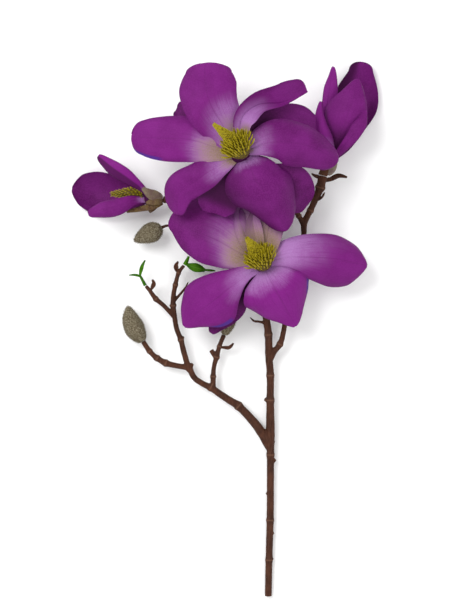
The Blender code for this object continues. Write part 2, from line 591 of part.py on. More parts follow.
def make_green_shoots():
    fine = dict(thick=LEAF_THICK, rows=LEAF_ROWS, columns=LEAF_COLUMNS)
    left = [
        tube("shoot", [(-73.9, 40.4, 17), (-76, 44.5, 17), (-79, 50, 17)], (1.6, 1.4, 1.1), sides=THIN_STEM),
        blade("leaflet", [(-79, 49, 17), (-78, 54, 18), (-76.5, 59, 19), (-74, 64, 19)],
              (1.0, 1.2, 1.7, 1.8, 1.3, 0.8, 0.4), fold=(15, 15, 15), **fine),
        blade("leaflet", [(-78.5, 49, 17), (-82, 50, 17), (-85, 50.3, 16.5), (-89, 50, 16)],
              (1.0, 1.1, 1.2, 1.1, 0.9, 0.6, 0.4), fold=(15, 15, 15), **fine),
    ]
    right = [
        tube("shoot", [(-37.6, 59.6, 18.5), (-36, 62, 18.5), (-33.5, 67.5, 18)], (1.7, 1.9, 1.0),
             sides=THIN_STEM),
        blade("leaf", [(-37, 61, 18.5), (-32, 58.5, 20), (-25, 56.5, 21), (-18.5, 54.5, 20)],
              (1.0, 1.4, 3.0, 4.1, 3.4, 2.0, 0.8), bend=(-20, -20, -20), thick=LEAF_THICK,
              columns=BACK_COLUMNS, rows=LONG_LEAF_ROWS),
        tube("leaf_stalk", [(-20, 55, 20.2), (-14, 54.5, 20), (-9, 54, 19)], (0.9, 1.1, 0.6),
             sides=THIN_STEM, smooth=1),
    ]
    return [fuse("left_green_shoot", left, "leaf"), fuse("right_green_shoot", right, "leaf")]


def main():
    clear_scene()
    nodes = [make_branch()]
    upper = make_upper_petals()
    lower = make_lower_petals()
    side = make_side_petals()
    tulip = make_tulip_petals()
    nodes += [upper, lower, side, tulip]
    nodes.append(stamen_cone("upper_stamens",
                             [(14, 161, 84 + GAP), (13.6, 161.5, 88), (6, 171, 95), (-10, 185, 104)],
                             (4.6, 9, 5, 1.3), 35, (17, 6), (90, 28), [upper]))
    nodes.append(stamen_cone("lower_stamens",
                             [(34, 60, 52.5 + GAP), (34, 60.5, 56.5), (28.5, 70.5, 63), (20, 83, 72)],
                             (4.6, 9, 5.5, 1.3), 35, (16, 6), (90, 28), [lower, upper]))
    nodes.append(stamen_cone("left_bloom_stamens",
                             [(-76.8, 121, 22), (-86, 124.8, 26), (-97, 125, 27), (-105, 125, 26)],
                             (2.8, 4.0, 2.6, 1.0), 26, (7, 3), (65, 35), [side]))
    nodes.append(stamen_cone("right_bloom_stamens", [(101.5, 163.5, 24), (104, 172, 24), (108, 184, 23)],
                             (2.4, 2.4, 1.2), 10, (5, 3), (50, 30), [tulip]))
    nodes += [make_left_calyx(), make_right_calyx()]
    nodes.append(make_bud("bud_by_left_bloom", (-59.05, 93.93, 18), (-84, 82, 16), 9.4, (1, 0.6, 0)))
    nodes.append(make_bud("bud_low_left", (-76.4, -11.1, 14), (-90, 21, 15), 9.5, (-2.5, 0, 0)))
    nodes.append(make_bud("bud_middle", (-0.8, -5, 12.6), (7, 24, 12.5), 6.5, (1, 0, 0)))
    nodes += make_green_shoots()
    home = bpy.data.collections.new("magnolia_branch")
    bpy.context.scene.collection.children.link(home)
    for node in nodes:
        bpy.context.scene.collection.objects.unlink(node)
        home.objects.link(node)


main()
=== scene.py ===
# A magnolia branch with two open blooms, two half-open ones and three furry buds.
# It lies on a pale table with the blooms up, and the camera looks straight down on it.
# Lengths are in millimetres and are made metres where a mesh is built. X is to the right,
# Y runs up the branch from its cut end, and Z is up from the table.

import math

import bmesh
import bpy
from mathutils import Matrix, Vector, noise


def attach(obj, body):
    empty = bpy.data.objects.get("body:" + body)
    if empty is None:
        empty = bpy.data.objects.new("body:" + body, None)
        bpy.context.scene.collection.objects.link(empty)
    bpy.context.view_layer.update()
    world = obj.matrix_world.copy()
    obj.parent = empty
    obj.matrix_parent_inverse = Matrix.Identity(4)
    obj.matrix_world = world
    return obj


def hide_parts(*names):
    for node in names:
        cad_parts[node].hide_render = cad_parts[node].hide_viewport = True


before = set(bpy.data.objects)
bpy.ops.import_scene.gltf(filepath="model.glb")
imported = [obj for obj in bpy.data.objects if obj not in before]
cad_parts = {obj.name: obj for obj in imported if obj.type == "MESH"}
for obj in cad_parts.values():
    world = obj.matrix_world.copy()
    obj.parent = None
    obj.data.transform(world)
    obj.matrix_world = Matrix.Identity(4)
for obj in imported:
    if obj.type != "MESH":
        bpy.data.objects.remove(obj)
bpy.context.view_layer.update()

# The woody branch.
# Brown stems with a raised ring at each old leaf scar, short cut-back spurs and small hooked
# scales. The stems are moulded as one piece, so they run into each other at every fork.

MM = 0.001
STEM_SIDES = 18
STEM_STEP = 1.2
# A stem's radius varies by this share of it, with a noise of this scale.
UNEVENNESS = 0.05
UNEVEN_SCALE = 0.35
# The swelling at a leaf scar and its half-length, as shares of the radius.
SWELL = 0.32
RING_HALF_LENGTH = 0.55
# Where two faces meet at more than this angle, in degrees, the edge between them looks sharp.
SHARP_EDGE = 55
# Each leaf scar: its place on the stem, the stem's direction there and its radius.
scars = []


def smooth_value(values, position):
    """The smooth value at a position from 0 to len(values) - 1."""
    index = min(int(position), len(values) - 2)
    part = position - index
    before = values[max(index - 1, 0)]
    start = values[index]
    end = values[index + 1]
    after = values[min(index + 2, len(values) - 1)]
    slope_in = (end - before) * 0.5
    slope_out = (after - start) * 0.5
    return (
        start * (2 * part ** 3 - 3 * part ** 2 + 1)
        + slope_in * (part ** 3 - 2 * part ** 2 + part)
        + end * (3 * part ** 2 - 2 * part ** 3)
        + slope_out * (part ** 3 - part ** 2)
    )


def along(points, share):
    return smooth_value(points, share * (len(points) - 1))


def add_stem(work, path, radii, rings=(), swell=SWELL, sides=STEM_SIDES, step=STEM_STEP):
    """A closed round stem along a smooth path, a little uneven, with a swelling at each ring's point."""
    path = [Vector(point) for point in path]
    for ring in rings:
        scars.append((path[ring], (path[ring + 1] - path[ring - 1]).normalized(), radii[ring]))
    length = sum((b - a).length for a, b in zip(path, path[1:]))
    steps = max(6, round(length / step))
    across = None
    loops = []
    for index in range(steps + 1):
        share = index / steps
        here = along(path, share)
        way = (along(path, min(share + 0.01, 1)) - along(path, max(share - 0.01, 0))).normalized()
        across = way.orthogonal() if across is None else across - way * across.dot(way)
        across.normalize()
        radius = along(radii, share)
        for ring in rings:
            apart = (here - path[ring]).length / radius
            radius *= 1 + swell * math.exp(-((apart / RING_HALF_LENGTH) ** 2))
        loop = []
        for side in range(sides):
            out = Matrix.Rotation(math.tau * side / sides, 3, way) @ across
            uneven = 1 + UNEVENNESS * noise.noise((here + out * radius) * UNEVEN_SCALE)
            loop.append(work.verts.new((here + out * radius * uneven) * MM))
        loops.append(loop)
    for low, high in zip(loops, loops[1:]):
        for side in range(sides):
            following = (side + 1) % sides
            work.faces.new((low[side], low[following], high[following], high[side]))
    work.faces.new(list(reversed(loops[0])))
    work.faces.new(loops[-1])


def mesh_from(work, name):
    """The mesh that was built in a bmesh, which is let go."""
    mesh = bpy.data.meshes.new(name)
    work.to_mesh(mesh)
    work.free()
    return mesh


def store(mesh, name, values):
    """A value for each point of the mesh, which the nodes of a material or a growth read by this name."""
    mesh.attributes.new(name, "FLOAT", "POINT").data.foreach_set("value", values)


def new_piece(name, data):
    made = bpy.data.objects.new(name, data)
    bpy.context.scene.collection.objects.link(made)
    return made


def baked(made):
    """The object's mesh with its modifiers applied. The object itself is removed."""
    bpy.context.view_layer.update()
    mesh = bpy.data.meshes.new_from_object(made.evaluated_get(bpy.context.evaluated_depsgraph_get()))
    bpy.data.objects.remove(made, do_unlink=True)
    return mesh


def dress(piece, node, material):
    """The finished piece stands for its CAD node."""
    piece.data.materials.clear()
    piece.data.materials.append(material)
    piece.data.shade_smooth()
    piece.data.set_sharp_from_angle(angle=math.radians(SHARP_EDGE))
    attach(piece, "root")
    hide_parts(node)


# Each stem: its points, its radius at each of them, which of them have a leaf scar, and the swelling there.
STEMS = (
    # The main stem.
    ([(40.3, -249, 3.4), (41, -215, 4.6), (42, -178, 5.5), (42.3, -150, 6.1), (42.3, -117, 7),
      (42.2, -97, 7.8), (42.1, -66, 9.5), (42.1, -43, 11), (40.8, -24, 12.5), (40.3, -5, 14),
      (38, 12, 17), (36, 30, 20), (35, 46, 23), (34, 59.8, 32), (34, 60, 40)],
     (3.3, 3.3, 3.4, 3.4, 3.5, 4.2, 3.6, 3.5, 3.6, 3.5, 3.4, 3.3, 3.4, 3.8, 4.6), (1, 2, 4, 6, 7, 9), 0.18),
    # The left stem.
    ([(41.5, -110, 6.6), (33.5, -95.5, 7.5), (25, -84.5, 8.2), (12.5, -71.5, 9), (5, -66.8, 9.5),
      (-4.5, -60.4, 10), (-13.5, -54.3, 10.5), (-21.5, -50.3, 11), (-28.8, -44.8, 11.5), (-33, -36, 12)],
     (4.2, 4.4, 4.0, 3.7, 3.5, 3.3, 3.1, 2.8, 2.8, 2.9), (3, 6), 0.25),
    # The twig that goes up from the left stem.
    ([(-33, -39, 12), (-38, -22, 13), (-41, -10, 13.5), (-45, 1, 14), (-47, 13, 15), (-48, 22, 16),
      (-48, 30, 17), (-46, 41, 18), (-43, 52, 18.5), (-38, 59, 18.5)],
     (2.6, 2.7, 2.5, 2.4, 2.4, 2.5, 2.3, 2.2, 1.9, 1.7), (2, 5, 7, 8)),
    # The twig of the low left bud.
    ([(-33, -36, 12), (-45, -34, 12), (-55, -31.5, 12), (-63, -27, 12.5), (-70, -20.5, 13), (-76, -11.5, 14)],
     (2.8, 2.6, 2.9, 2.6, 2.4, 2.4), (2, 3, 4)),
    # The twig of the middle bud.
    ([(-11, -58, 10.5), (-11, -44, 11), (-10, -34, 11.5), (-7.8, -26, 12), (-5.2, -16, 12.5),
      (-1, -5.5, 12.5)],
     (2.8, 2.4, 2.2, 2.5, 2.1, 2.2), (1, 3, 4)),
    # The two thin twigs at the left.
    ([(-46, 10, 15), (-56, 21, 15.5), (-64, 28, 16), (-70, 36, 16.5), (-73.5, 40, 17)],
     (2.2, 2.1, 2.3, 1.9, 1.7), (2,)),
    ([(-48, 25, 16.5), (-42, 32, 16), (-37, 38, 15), (-34, 44, 15)], (1.6, 1.3, 1.1, 0.6)),
    # The right stem.
    ([(40.5, -33, 11.5), (45, -22, 12.5), (51, -14, 13.5), (54, -4, 14.5), (56, 7, 15.5), (61, 27, 17),
      (67, 50, 18), (71, 70, 19), (73, 85, 20), (73.5, 98, 21), (79, 110, 22), (84, 121, 23), (88, 131, 23.5),
      (90.5, 141.8, 24)],
     (2.8, 2.8, 2.7, 2.5, 2.4, 2.5, 2.6, 2.6, 2.5, 3.0, 2.8, 3.1, 3.9, 4.2), (2, 8, 10, 12)),
    # The stalks of the upper bloom, the left bloom and the bud by the left bloom.
    ([(73, 95, 21), (68, 105, 24), (56, 120, 34), (40, 138, 50), (22, 154, 58), (15, 160, 63), (14, 161, 70)],
     (2.4, 2.3, 2.4, 2.6, 3.2, 3.8, 4.6), (1,)),
    ([(36.5, 26, 20), (23, 41, 20), (6, 69, 20), (-10, 92, 20), (-27, 108, 20), (-42, 117, 20),
      (-51, 119.5, 21), (-57.2, 120, 22)],
     (2.4, 2.3, 2.3, 2.3, 2.3, 2.4, 3.2, 3.4), (6,)),
    ([(-18, 102, 19), (-33, 97, 18), (-46, 96, 18), (-54, 95.9, 18), (-58.7, 94.1, 18)],
     (1.3, 1.2, 1.2, 1.3, 1.6)),
)
wood = bmesh.new()
for stem in STEMS:
    add_stem(wood, *stem)

# A spur is what is left of a side shoot: where it leaves the stem, where it ends, and its two radii.
SPURS = (
    ((42, -68, 9), (36.5, -65, 9.5), 2.4, 1.5),
    ((42.3, -106, 7.4), (46, -103.5, 7.8), 2.6, 1.6),
    ((-8, -27, 12), (-13, -19.5, 12.5), 2.4, 2.2),
    ((41, -217, 4.6), (44.4, -213, 5.2), 2.4, 1.3),
    ((41.5, -192, 5.2), (45.2, -189, 5.8), 2.6, 1.5),
    ((42.3, -156, 6.1), (38.6, -152, 6.6), 2.4, 1.4),
    ((42.3, -125, 6.8), (46.9, -121, 7.4), 2.6, 1.7),
    ((-41, -10, 13.5), (-38, -7, 14), 1.8, 1.0),
    ((-48, 22, 16), (-51.5, 21.5, 16), 1.8, 0.9),
    ((-63, -27, 12.5), (-66.5, -28, 12.5), 1.8, 0.9),
    ((-33, -36, 12), (-30, -32, 12.5), 2.6, 1.6),
)
for start, end, wide, thin in SPURS:
    add_stem(wood, [start, end], (wide, thin), step=0.6)
add_stem(wood, [(36, 6, 15), (31, 7, 15.5), (27, 7.5, 16), (23, 11, 17)], (1.4, 1.2, 1.1, 0.6), step=0.6)
add_stem(wood, [(83, 119, 23), (88, 120.5, 25), (91, 124, 26), (92, 127, 27)], (1.4, 1.1, 1.1, 0.6), step=0.6)

# The stems melt together on a grid of this many millimetres, and the steps it leaves are eased.
MELT_GRID = 0.62
EASE_ROUNDS = 4
wood_piece = new_piece("wood", mesh_from(wood, "wood"))
melt = wood_piece.modifiers.new("melt", "REMESH")
melt.mode = "VOXEL"
melt.voxel_size = MELT_GRID * MM
ease = wood_piece.modifiers.new("ease", "SMOOTH")
ease.factor = 0.5
ease.iterations = EASE_ROUNDS
wood_mesh = baked(wood_piece)

# How much a point belongs to a leaf scar, a thin paler line round the stem, which reaches this many radii.
SCAR_HALF_WIDTH = 0.55
SCAR_REACH = 1.7
scar_shares = []
for vertex in wood_mesh.vertices:
    share = 0.0
    for centre, way, radius in scars:
        apart = vertex.co / MM - centre
        if apart.length < radius * SCAR_REACH:
            share = max(share, math.exp(-(apart.dot(way) / SCAR_HALF_WIDTH) ** 2))
    scar_shares.append(share)
store(wood_mesh, "scar", scar_shares)

# Half-widths of every petal, leaf and scale are given at these shares of its length, root to tip.
STATIONS = (0.0, 0.15, 0.35, 0.55, 0.75, 0.9, 1.0)
LEAST_HALF_WIDTH = 0.4
# An edge curls outside this share of the half-width.
TURN_START = 0.65
# How much closer a blade's rows lie towards its tip.
ROW_CROWDING = 1.5
# The half-width of the midrib's groove and of the thinner rim, as shares of the half-width.
GROOVE_HALF_WIDTH = 0.07
RIM_WIDTH = 0.2
RIM_THICKNESS = 0.45


def half_width(values, share, roundness):
    """The half-width at a share of the length, ending in a pointed or a round tip."""
    for index in range(len(STATIONS) - 2):
        if share <= STATIONS[index + 1]:
            part = (share - STATIONS[index]) / (STATIONS[index + 1] - STATIONS[index])
            return max(smooth_value(values, index + part), LEAST_HALF_WIDTH)
    part = (share - STATIONS[-2]) / (STATIONS[-1] - STATIONS[-2])
    pointed = 1 - part
    rounded = math.sqrt(max(0.0, 1 - part ** 2))
    return values[-1] + (values[-2] - values[-1]) * (pointed + (rounded - pointed) * roundness)


def edge_path(bend, fold, turn, steps=24):
    """Points (across, up) of half a section: an arc, tipped up by the fold, its rim curled by the turn."""
    full = bend / math.sin(bend) if abs(bend) > 0.01 else 1.0
    across, up = 0.0, 0.0
    points = [Vector((across, up))]
    for step in range(steps):
        share = (step + 0.5) / steps
        curl = max(0.0, (share - TURN_START) / (1 - TURN_START))
        heading = fold + bend * share + turn * curl
        across += full * math.cos(heading) / steps
        up += full * math.sin(heading) / steps
        points.append(Vector((across, up)))
    return points


def mark(mesh, **values):
    """Values that the material reads, the same at every point of the mesh."""
    for name, value in values.items():
        store(mesh, name, [value] * len(mesh.vertices))


# What the materials read from a blade, unless the blade says otherwise.
# pale and glow: the shares of its length where the beige foot and the lavender above it fade out.
# glow_at: where the lavender lies between the right edge, -1, and the left one, 1.
# tone: how light it is; on petals lying behind the others a low tone is painted shade.
# deep: on a petal, the share of its length at the foot that is darkened as painted shade, deep in the bloom.
# dark_side: paints shade on its right side if negative and on its left one if positive.
# violet: the share of its length where a violet-blue painted shade lies on its left rim, or -1 for nowhere.
PLAIN = dict(pale=0.02, glow=0.05, glow_at=0.0, tone=0.5, deep=0.0, dark_side=0.0, violet=-1.0)


def blade(spine, left, right=None, bend=(0, 0, 0), fold=(0, 0, 0), roll=(0, 0, 0), turn=(0, 0), tip=1.0,
          thick=0.85, rows=40, columns=28, crease=0.35, ripple=0.0, seed=0, **paint):
    """One petal, leaf or scale as a closed mesh, with its shape's numbers as in the CAD model.

    crease is the depth of the midrib's groove and ripple the height of the waves along the rim.
    """
    right = right or left
    spine = [Vector(point) for point in spine]
    chord = spine[-1] - spine[0]
    flat_left = Vector((-chord.y, chord.x, 0)).normalized()
    sheet = bmesh.new()
    shape = sheet.loops.layers.uv.new("UVMap")
    grid = []
    for row in range(rows + 1):
        share = 1 - (1 - row / rows) ** ROW_CROWDING
        here = along(spine, share)
        tangent = (along(spine, min(share + 0.02, 1)) - along(spine, max(share - 0.02, 0))).normalized()
        side = (flat_left - tangent * flat_left.dot(tangent)).normalized()
        turned = Matrix.Rotation(-math.radians(smooth_value(roll, share * 2)), 3, tangent)
        face = turned @ tangent.cross(side)
        side = turned @ side
        bent = math.radians(smooth_value(bend, share * 2))
        folded = math.radians(smooth_value(fold, share * 2))
        left_half, right_half = (edge_path(bent, folded, math.radians(curl)) for curl in turn)
        line = []
        for column in range(columns + 1):
            place = 2 * column / columns - 1
            half, widths = (left_half, left) if place > 0 else (right_half, right)
            width = half_width(widths, share, tip)
            across, up = smooth_value(half, abs(place) * (len(half) - 1))
            waves = noise.noise(Vector((share * 5 + place, place * 1.5, seed * 7.3)))
            lift = ripple * waves * (0.25 + abs(place) ** 2 * 1.2) * min(1, share * 3)
            groove = -crease * math.exp(-((place / GROOVE_HALF_WIDTH) ** 2)) * (1 - share ** 3)
            spot = here + side * math.copysign(across * width, place) + face * (up * width + lift + groove)
            line.append((sheet.verts.new(spot * MM), (column / columns, share)))
        grid.append(line)
    for low, high in zip(grid, grid[1:]):
        for column in range(columns):
            corners = (low[column], high[column], high[column + 1], low[column + 1])
            face = sheet.faces.new([corner[0] for corner in corners])
            for loop, corner in zip(face.loops, corners):
                loop[shape].uv = corner[1]
    made = new_piece("blade", mesh_from(sheet, "blade"))
    body = made.vertex_groups.new(name="body")
    for row in range(rows + 1):
        for column in range(columns + 1):
            inward = min(1 - abs(2 * column / columns - 1), (rows - row) / rows * 2, RIM_WIDTH)
            body.add([row * (columns + 1) + column], inward / RIM_WIDTH, "REPLACE")
    solid = made.modifiers.new("thickness", "SOLIDIFY")
    solid.thickness = thick * MM
    solid.offset = 0
    solid.vertex_group = "body"
    solid.thickness_vertex_group = RIM_THICKNESS
    mesh = baked(made)
    mark(mesh, **dict(PLAIN, **paint))
    return mesh


def make(name, node, material, meshes):
    """One piece from several meshes, each facing outwards, which stands for its CAD node."""
    work = bmesh.new()
    for mesh in meshes:
        work.from_mesh(mesh)
    bmesh.ops.recalc_face_normals(work, faces=work.faces)
    dress(new_piece(name, mesh_from(work, name)), node, material)


SCALE = dict(fold=(20, 20, 20), thick=0.9, rows=14, columns=8, crease=0.2)
BRACT = dict(SCALE, fold=(-15, -15, -15))
scales = [
    blade([(-42.8, 51.5, 18.5), (-44.7, 55, 19), (-45.3, 59, 19), (-43.3, 62.8, 19)],
          (0.9, 1.2, 2.0, 2.4, 1.7, 1.0, 0.4), **SCALE),
    blade([(-6, -17, 12.5), (-1, -17, 13), (4, -17, 14), (8, -13, 14)],
          (0.9, 1.0, 1.4, 1.8, 1.6, 1.0, 0.4), **SCALE),
    blade([(-69.5, 35, 16.5), (-67.3, 39, 17), (-66, 42.5, 17), (-67.5, 46, 17)],
          (0.8, 1.0, 1.8, 2.2, 1.6, 1.0, 0.4), **SCALE),
    blade([(91, 137.5, 23), (98, 139, 23), (105, 142, 24), (113, 140.5, 25)],
          (1.8, 1.9, 2.2, 2.4, 2.0, 1.2, 0.4), **BRACT),
    blade([(90, 139, 24), (86, 141, 25), (83, 142, 25.5), (80, 144, 26)],
          (1.4, 1.6, 1.8, 1.6, 1.2, 0.8, 0.4), **BRACT),
]


class Graph:
    """Short calls for building a node tree. A node is of the tree's own family unless its kind says more."""

    family = "ShaderNode"

    def __init__(self, tree, surface=None):
        self.tree = tree
        self.surface = surface

    def node(self, kind, **settings):
        made = self.tree.nodes.new(kind if "Node" in kind else self.family + kind)
        for name, value in settings.items():
            setattr(made, name, value)
        return made

    def feed(self, socket, value):
        if isinstance(value, bpy.types.NodeSocket):
            self.tree.links.new(value, socket)
        elif value is not None:
            socket.default_value = value

    def outputs(self, kind, settings=None, **inputs):
        """The outputs of a new node, which gets its settings and its inputs by name."""
        made = self.node(kind, **(settings or {}))
        for title, value in inputs.items():
            self.feed(made.inputs[title.replace("_", " ")], value)
        return made.outputs

    def in_order(self, kind, *values, **settings):
        """The first output of a new node, which gets its inputs in order."""
        made = self.node(kind, **settings)
        for socket, value in zip(made.inputs, values):
            self.feed(socket, value)
        return made.outputs[0]

    def math(self, operation, *values):
        return self.in_order("ShaderNodeMath", *values, operation=operation)

    def times(self, first, second):
        return self.math("MULTIPLY", first, second)

    def plus(self, first, second):
        return self.math("ADD", first, second)

    def minus(self, first, second):
        return self.math("SUBTRACT", first, second)

    def mix(self, factor, first, second):
        made = self.node("Mix", data_type="RGBA")
        for index, value in ((0, factor), (6, first), (7, second)):
            self.feed(made.inputs[index], value)
        return made.outputs[2]

    def noise(self, vector, scale, detail=3.0, roughness=0.5):
        return self.outputs("TexNoise", Vector=vector, Scale=scale, Detail=detail, Roughness=roughness)["Fac"]

    def spread(self, value, low, high, to_low=0.0, to_high=1.0):
        return self.in_order("MapRange", value, low, high, to_low, to_high, interpolation_type="SMOOTHSTEP")

    def stretch(self, vector, scale):
        return self.outputs("Mapping", Vector=vector, Scale=scale)[0]

    def bump(self, height, strength, distance, normal=None):
        return self.outputs("Bump", Strength=strength, Distance=distance, Height=height, Normal=normal)[0]

    def object_place(self):
        return self.node("TexCoord").outputs["Object"]

    def attribute(self, name):
        return self.node("Attribute", attribute_name=name).outputs["Fac"]

    def effect(self, name, **inputs):
        """The outputs of one of the shared effects."""
        return self.outputs("Group", dict(node_tree=bpy.data.node_groups[name]), **inputs)

    def patches(self, place, scale, start, full, most=1.0, detail=3.0, roughness=0.5):
        return self.effect("patches", Place=place, Scale=scale, Start=start, Full=full, Most=most,
                           Detail=detail, Roughness=roughness)["Amount"]

    def show(self, colour, normal=None):
        """The colour and the bumps go to the surface."""
        self.feed(self.surface["Base Color"], colour)
        self.feed(self.surface["Normal"], normal)


def shared_effect(name, inputs, outputs):
    """An empty shader node group: its graph, the sockets of its inputs and those of its outputs."""
    graph = Graph(bpy.data.node_groups.new(name, "ShaderNodeTree"))
    for title in inputs:
        kind = "NodeSocketVector" if title in ("Place", "Shape") else "NodeSocketFloat"
        graph.tree.interface.new_socket(title, in_out="INPUT", socket_type=kind)
    for title in outputs:
        graph.tree.interface.new_socket(title, in_out="OUTPUT", socket_type="NodeSocketFloat")
    return graph, graph.node("NodeGroupInput").outputs, graph.node("NodeGroupOutput").inputs


# Soft patches: none where the noise is below Start, and Most of them where it is above Full.
graph, given, result = shared_effect(
    "patches", ["Place", "Scale", "Detail", "Roughness", "Start", "Full", "Most"], ["Amount"])
uneven = graph.noise(given["Place"], given["Scale"], given["Detail"], given["Roughness"])
graph.feed(result["Amount"], graph.spread(uneven, given["Start"], given["Full"], 0.0, given["Most"]))

# Where a point is on a blade: Sideways from its right edge, 0, to its left, 1, Upward from its root, 0, to
# its tip, 1, and From Rib, 0 at the midrib and 1 at both edges.
graph, given, result = shared_effect("place_on_blade", ["Shape"], ["Sideways", "Upward", "From Rib"])
split = graph.outputs("SeparateXYZ", Vector=given["Shape"])
graph.feed(result["Sideways"], split[0])
graph.feed(result["Upward"], split[1])
graph.feed(result["From Rib"], graph.times(graph.math("ABSOLUTE", graph.minus(split[0], 0.5)), 2.0))


def new_finish(name, roughness, specular=0.3):
    """A material and its graph. What is the same all over is set on the surface itself."""
    made = bpy.data.materials.new(name)
    made.use_nodes = True
    surface = made.node_tree.nodes["Principled BSDF"].inputs
    surface["Roughness"].default_value = roughness
    surface["Specular IOR Level"].default_value = specular
    return made, Graph(made.node_tree, surface)


bark, graph = new_finish("bark", 0.65, specular=0.12)
place = graph.object_place()
blotches = graph.patches(place, 90, 0.35, 0.7, detail=4, roughness=0.6)
streaks = graph.patches(graph.stretch(place, (1, 0.16, 1)), 900, 0.35, 0.7, roughness=0.6)
brown = graph.mix(blotches, (0.031, 0.0100, 0.0050, 1), (0.062, 0.0220, 0.0120, 1))
brown = graph.mix(graph.times(streaks, 0.38), brown, (0.120, 0.050, 0.029, 1))
brown = graph.mix(graph.times(graph.attribute("scar"), 0.45), brown, (0.200, 0.105, 0.065, 1))
graph.feed(graph.surface["Roughness"], graph.spread(blotches, 0, 1, 0.52, 0.75))
graph.show(brown, graph.bump(streaks, 0.35, 0.0006, graph.bump(blotches, 0.3, 0.001)))

make("woody_branch", "branch", bark, [wood_mesh] + scales)

# The petals of the two open blooms.
# Big foam-and-fabric petals in two or three layers on a small seat: purple, with a lavender glow
# towards the foot and a beige foot, soft lengthwise veins and a pressed midrib. Painted shade darkens
# their rims, midribs, hollows and the sides turned from the light.


def ball(centre, radii):
    """The seat that a bloom's petals grow from, an ellipsoid."""
    work = bmesh.new()
    bmesh.ops.create_uvsphere(work, u_segments=32, v_segments=20, radius=MM,
                              matrix=Matrix.Translation(Vector(centre) * MM) @ Matrix.Diagonal((*radii, 1)))
    mesh = mesh_from(work, "ball")
    # The whole seat is darkened as painted shade, deep in its bloom.
    mark(mesh, **dict(PLAIN, deep=2.0))
    return mesh


petal_cloth, graph = new_finish("petal_cloth", 0.6, specular=0.10)
shape = graph.node("UVMap", uv_map="UVMap").outputs[0]
sideways, upward, from_rib = graph.effect("place_on_blade", Shape=shape)
across = graph.math("MULTIPLY_ADD", sideways, 2.0, -1.0)
place = graph.object_place()
veins = graph.noise(graph.stretch(shape, (1.0, 0.05, 1.0)), 60, 3, 0.55)
clouds = graph.noise(place, 45, 3, 0.5)
speckle = graph.noise(place, 900, 2, 0.6)


def shifted(height, amount, most):
    """The height moved up or down by a noise, by up to half of most."""
    return graph.plus(height, graph.times(graph.minus(amount, 0.5), most))


def fading(height, end, start_share):
    """0 at the foot, and 1 above the end of a coloured foot."""
    return graph.spread(height, graph.times(end, start_share), end)


# The coloured foot: beige, then lavender, which reaches highest where the petal glows.
height = shifted(shifted(shifted(upward, veins, 0.08), clouds, 0.34), speckle, 0.10)
from_glow = graph.math("ABSOLUTE", graph.minus(across, graph.attribute("glow_at")))
height = graph.plus(height, graph.times(graph.math("POWER", from_glow, 2.0), 0.16))
# A low tone darkens the petals that lie behind the others, as painted shade.
purple = graph.mix(graph.attribute("tone"), (0.058, 0.0015, 0.052, 1), (0.165, 0.0080, 0.165, 1))
purple = graph.mix(graph.spread(clouds, 0.35, 0.70, 0.0, 0.30), purple, (0.215, 0.018, 0.220, 1))
past_glow = fading(height, graph.attribute("glow"), 0.25)
lavender = graph.mix(past_glow, (0.350, 0.165, 0.410, 1), purple)
beige = graph.mix(graph.spread(speckle, 0.35, 0.65), (0.230, 0.156, 0.092, 1), (0.280, 0.198, 0.145, 1))
foot = graph.mix(fading(height, graph.attribute("pale"), 0.30), beige, lavender)

# A darker rim where it curls away and a darker midrib groove, both painted shade, darker veins and lighter
# speckles.
rim = graph.times(graph.spread(from_rib, 0.72, 1.0, 0.0, 0.45), past_glow)
skin = graph.mix(rim, foot, (0.075, 0.0035, 0.075, 1))
skin = graph.mix(graph.spread(from_rib, 0.0, 0.035, 0.26, 0.0), skin, (0.085, 0.006, 0.080, 1))
skin = graph.mix(graph.spread(veins, 0.48, 0.72, 0.0, 0.22), skin, (0.080, 0.0035, 0.078, 1))
skin = graph.mix(graph.spread(speckle, 0.40, 0.65, 0.0, 0.16), skin, (0.250, 0.030, 0.250, 1))

# Painted shade: what lies deep in a bloom or faces away from the light is darkened, and a violet-blue painted
# shade lies on the left rim at the violet share.
in_cup = graph.spread(graph.minus(graph.attribute("deep"), upward), 0.0, 0.30, 0.0, 0.85)
turned_away = graph.spread(graph.times(across, graph.attribute("dark_side")), 0.02, 0.35, 0.0, 0.72)
skin = graph.mix(graph.math("MAXIMUM", in_cup, turned_away), skin, (0.030, 0.0015, 0.026, 1))
from_violet = graph.math("ABSOLUTE", graph.minus(upward, graph.attribute("violet")))
at_rim = graph.spread(across, 0.80, 0.87, 0.0, 0.9)
violet_rim = graph.times(graph.spread(from_violet, 0.08, 0.15, 1.0, 0.0), at_rim)
skin = graph.mix(violet_rim, skin, (0.060, 0.018, 0.200, 1))
grooves = graph.bump(veins, 0.30, 0.0008, graph.bump(clouds, 0.25, 0.002))
graph.show(skin, graph.bump(graph.noise(place, 2600, 2, 0.6), 0.12, 0.0003, grooves))

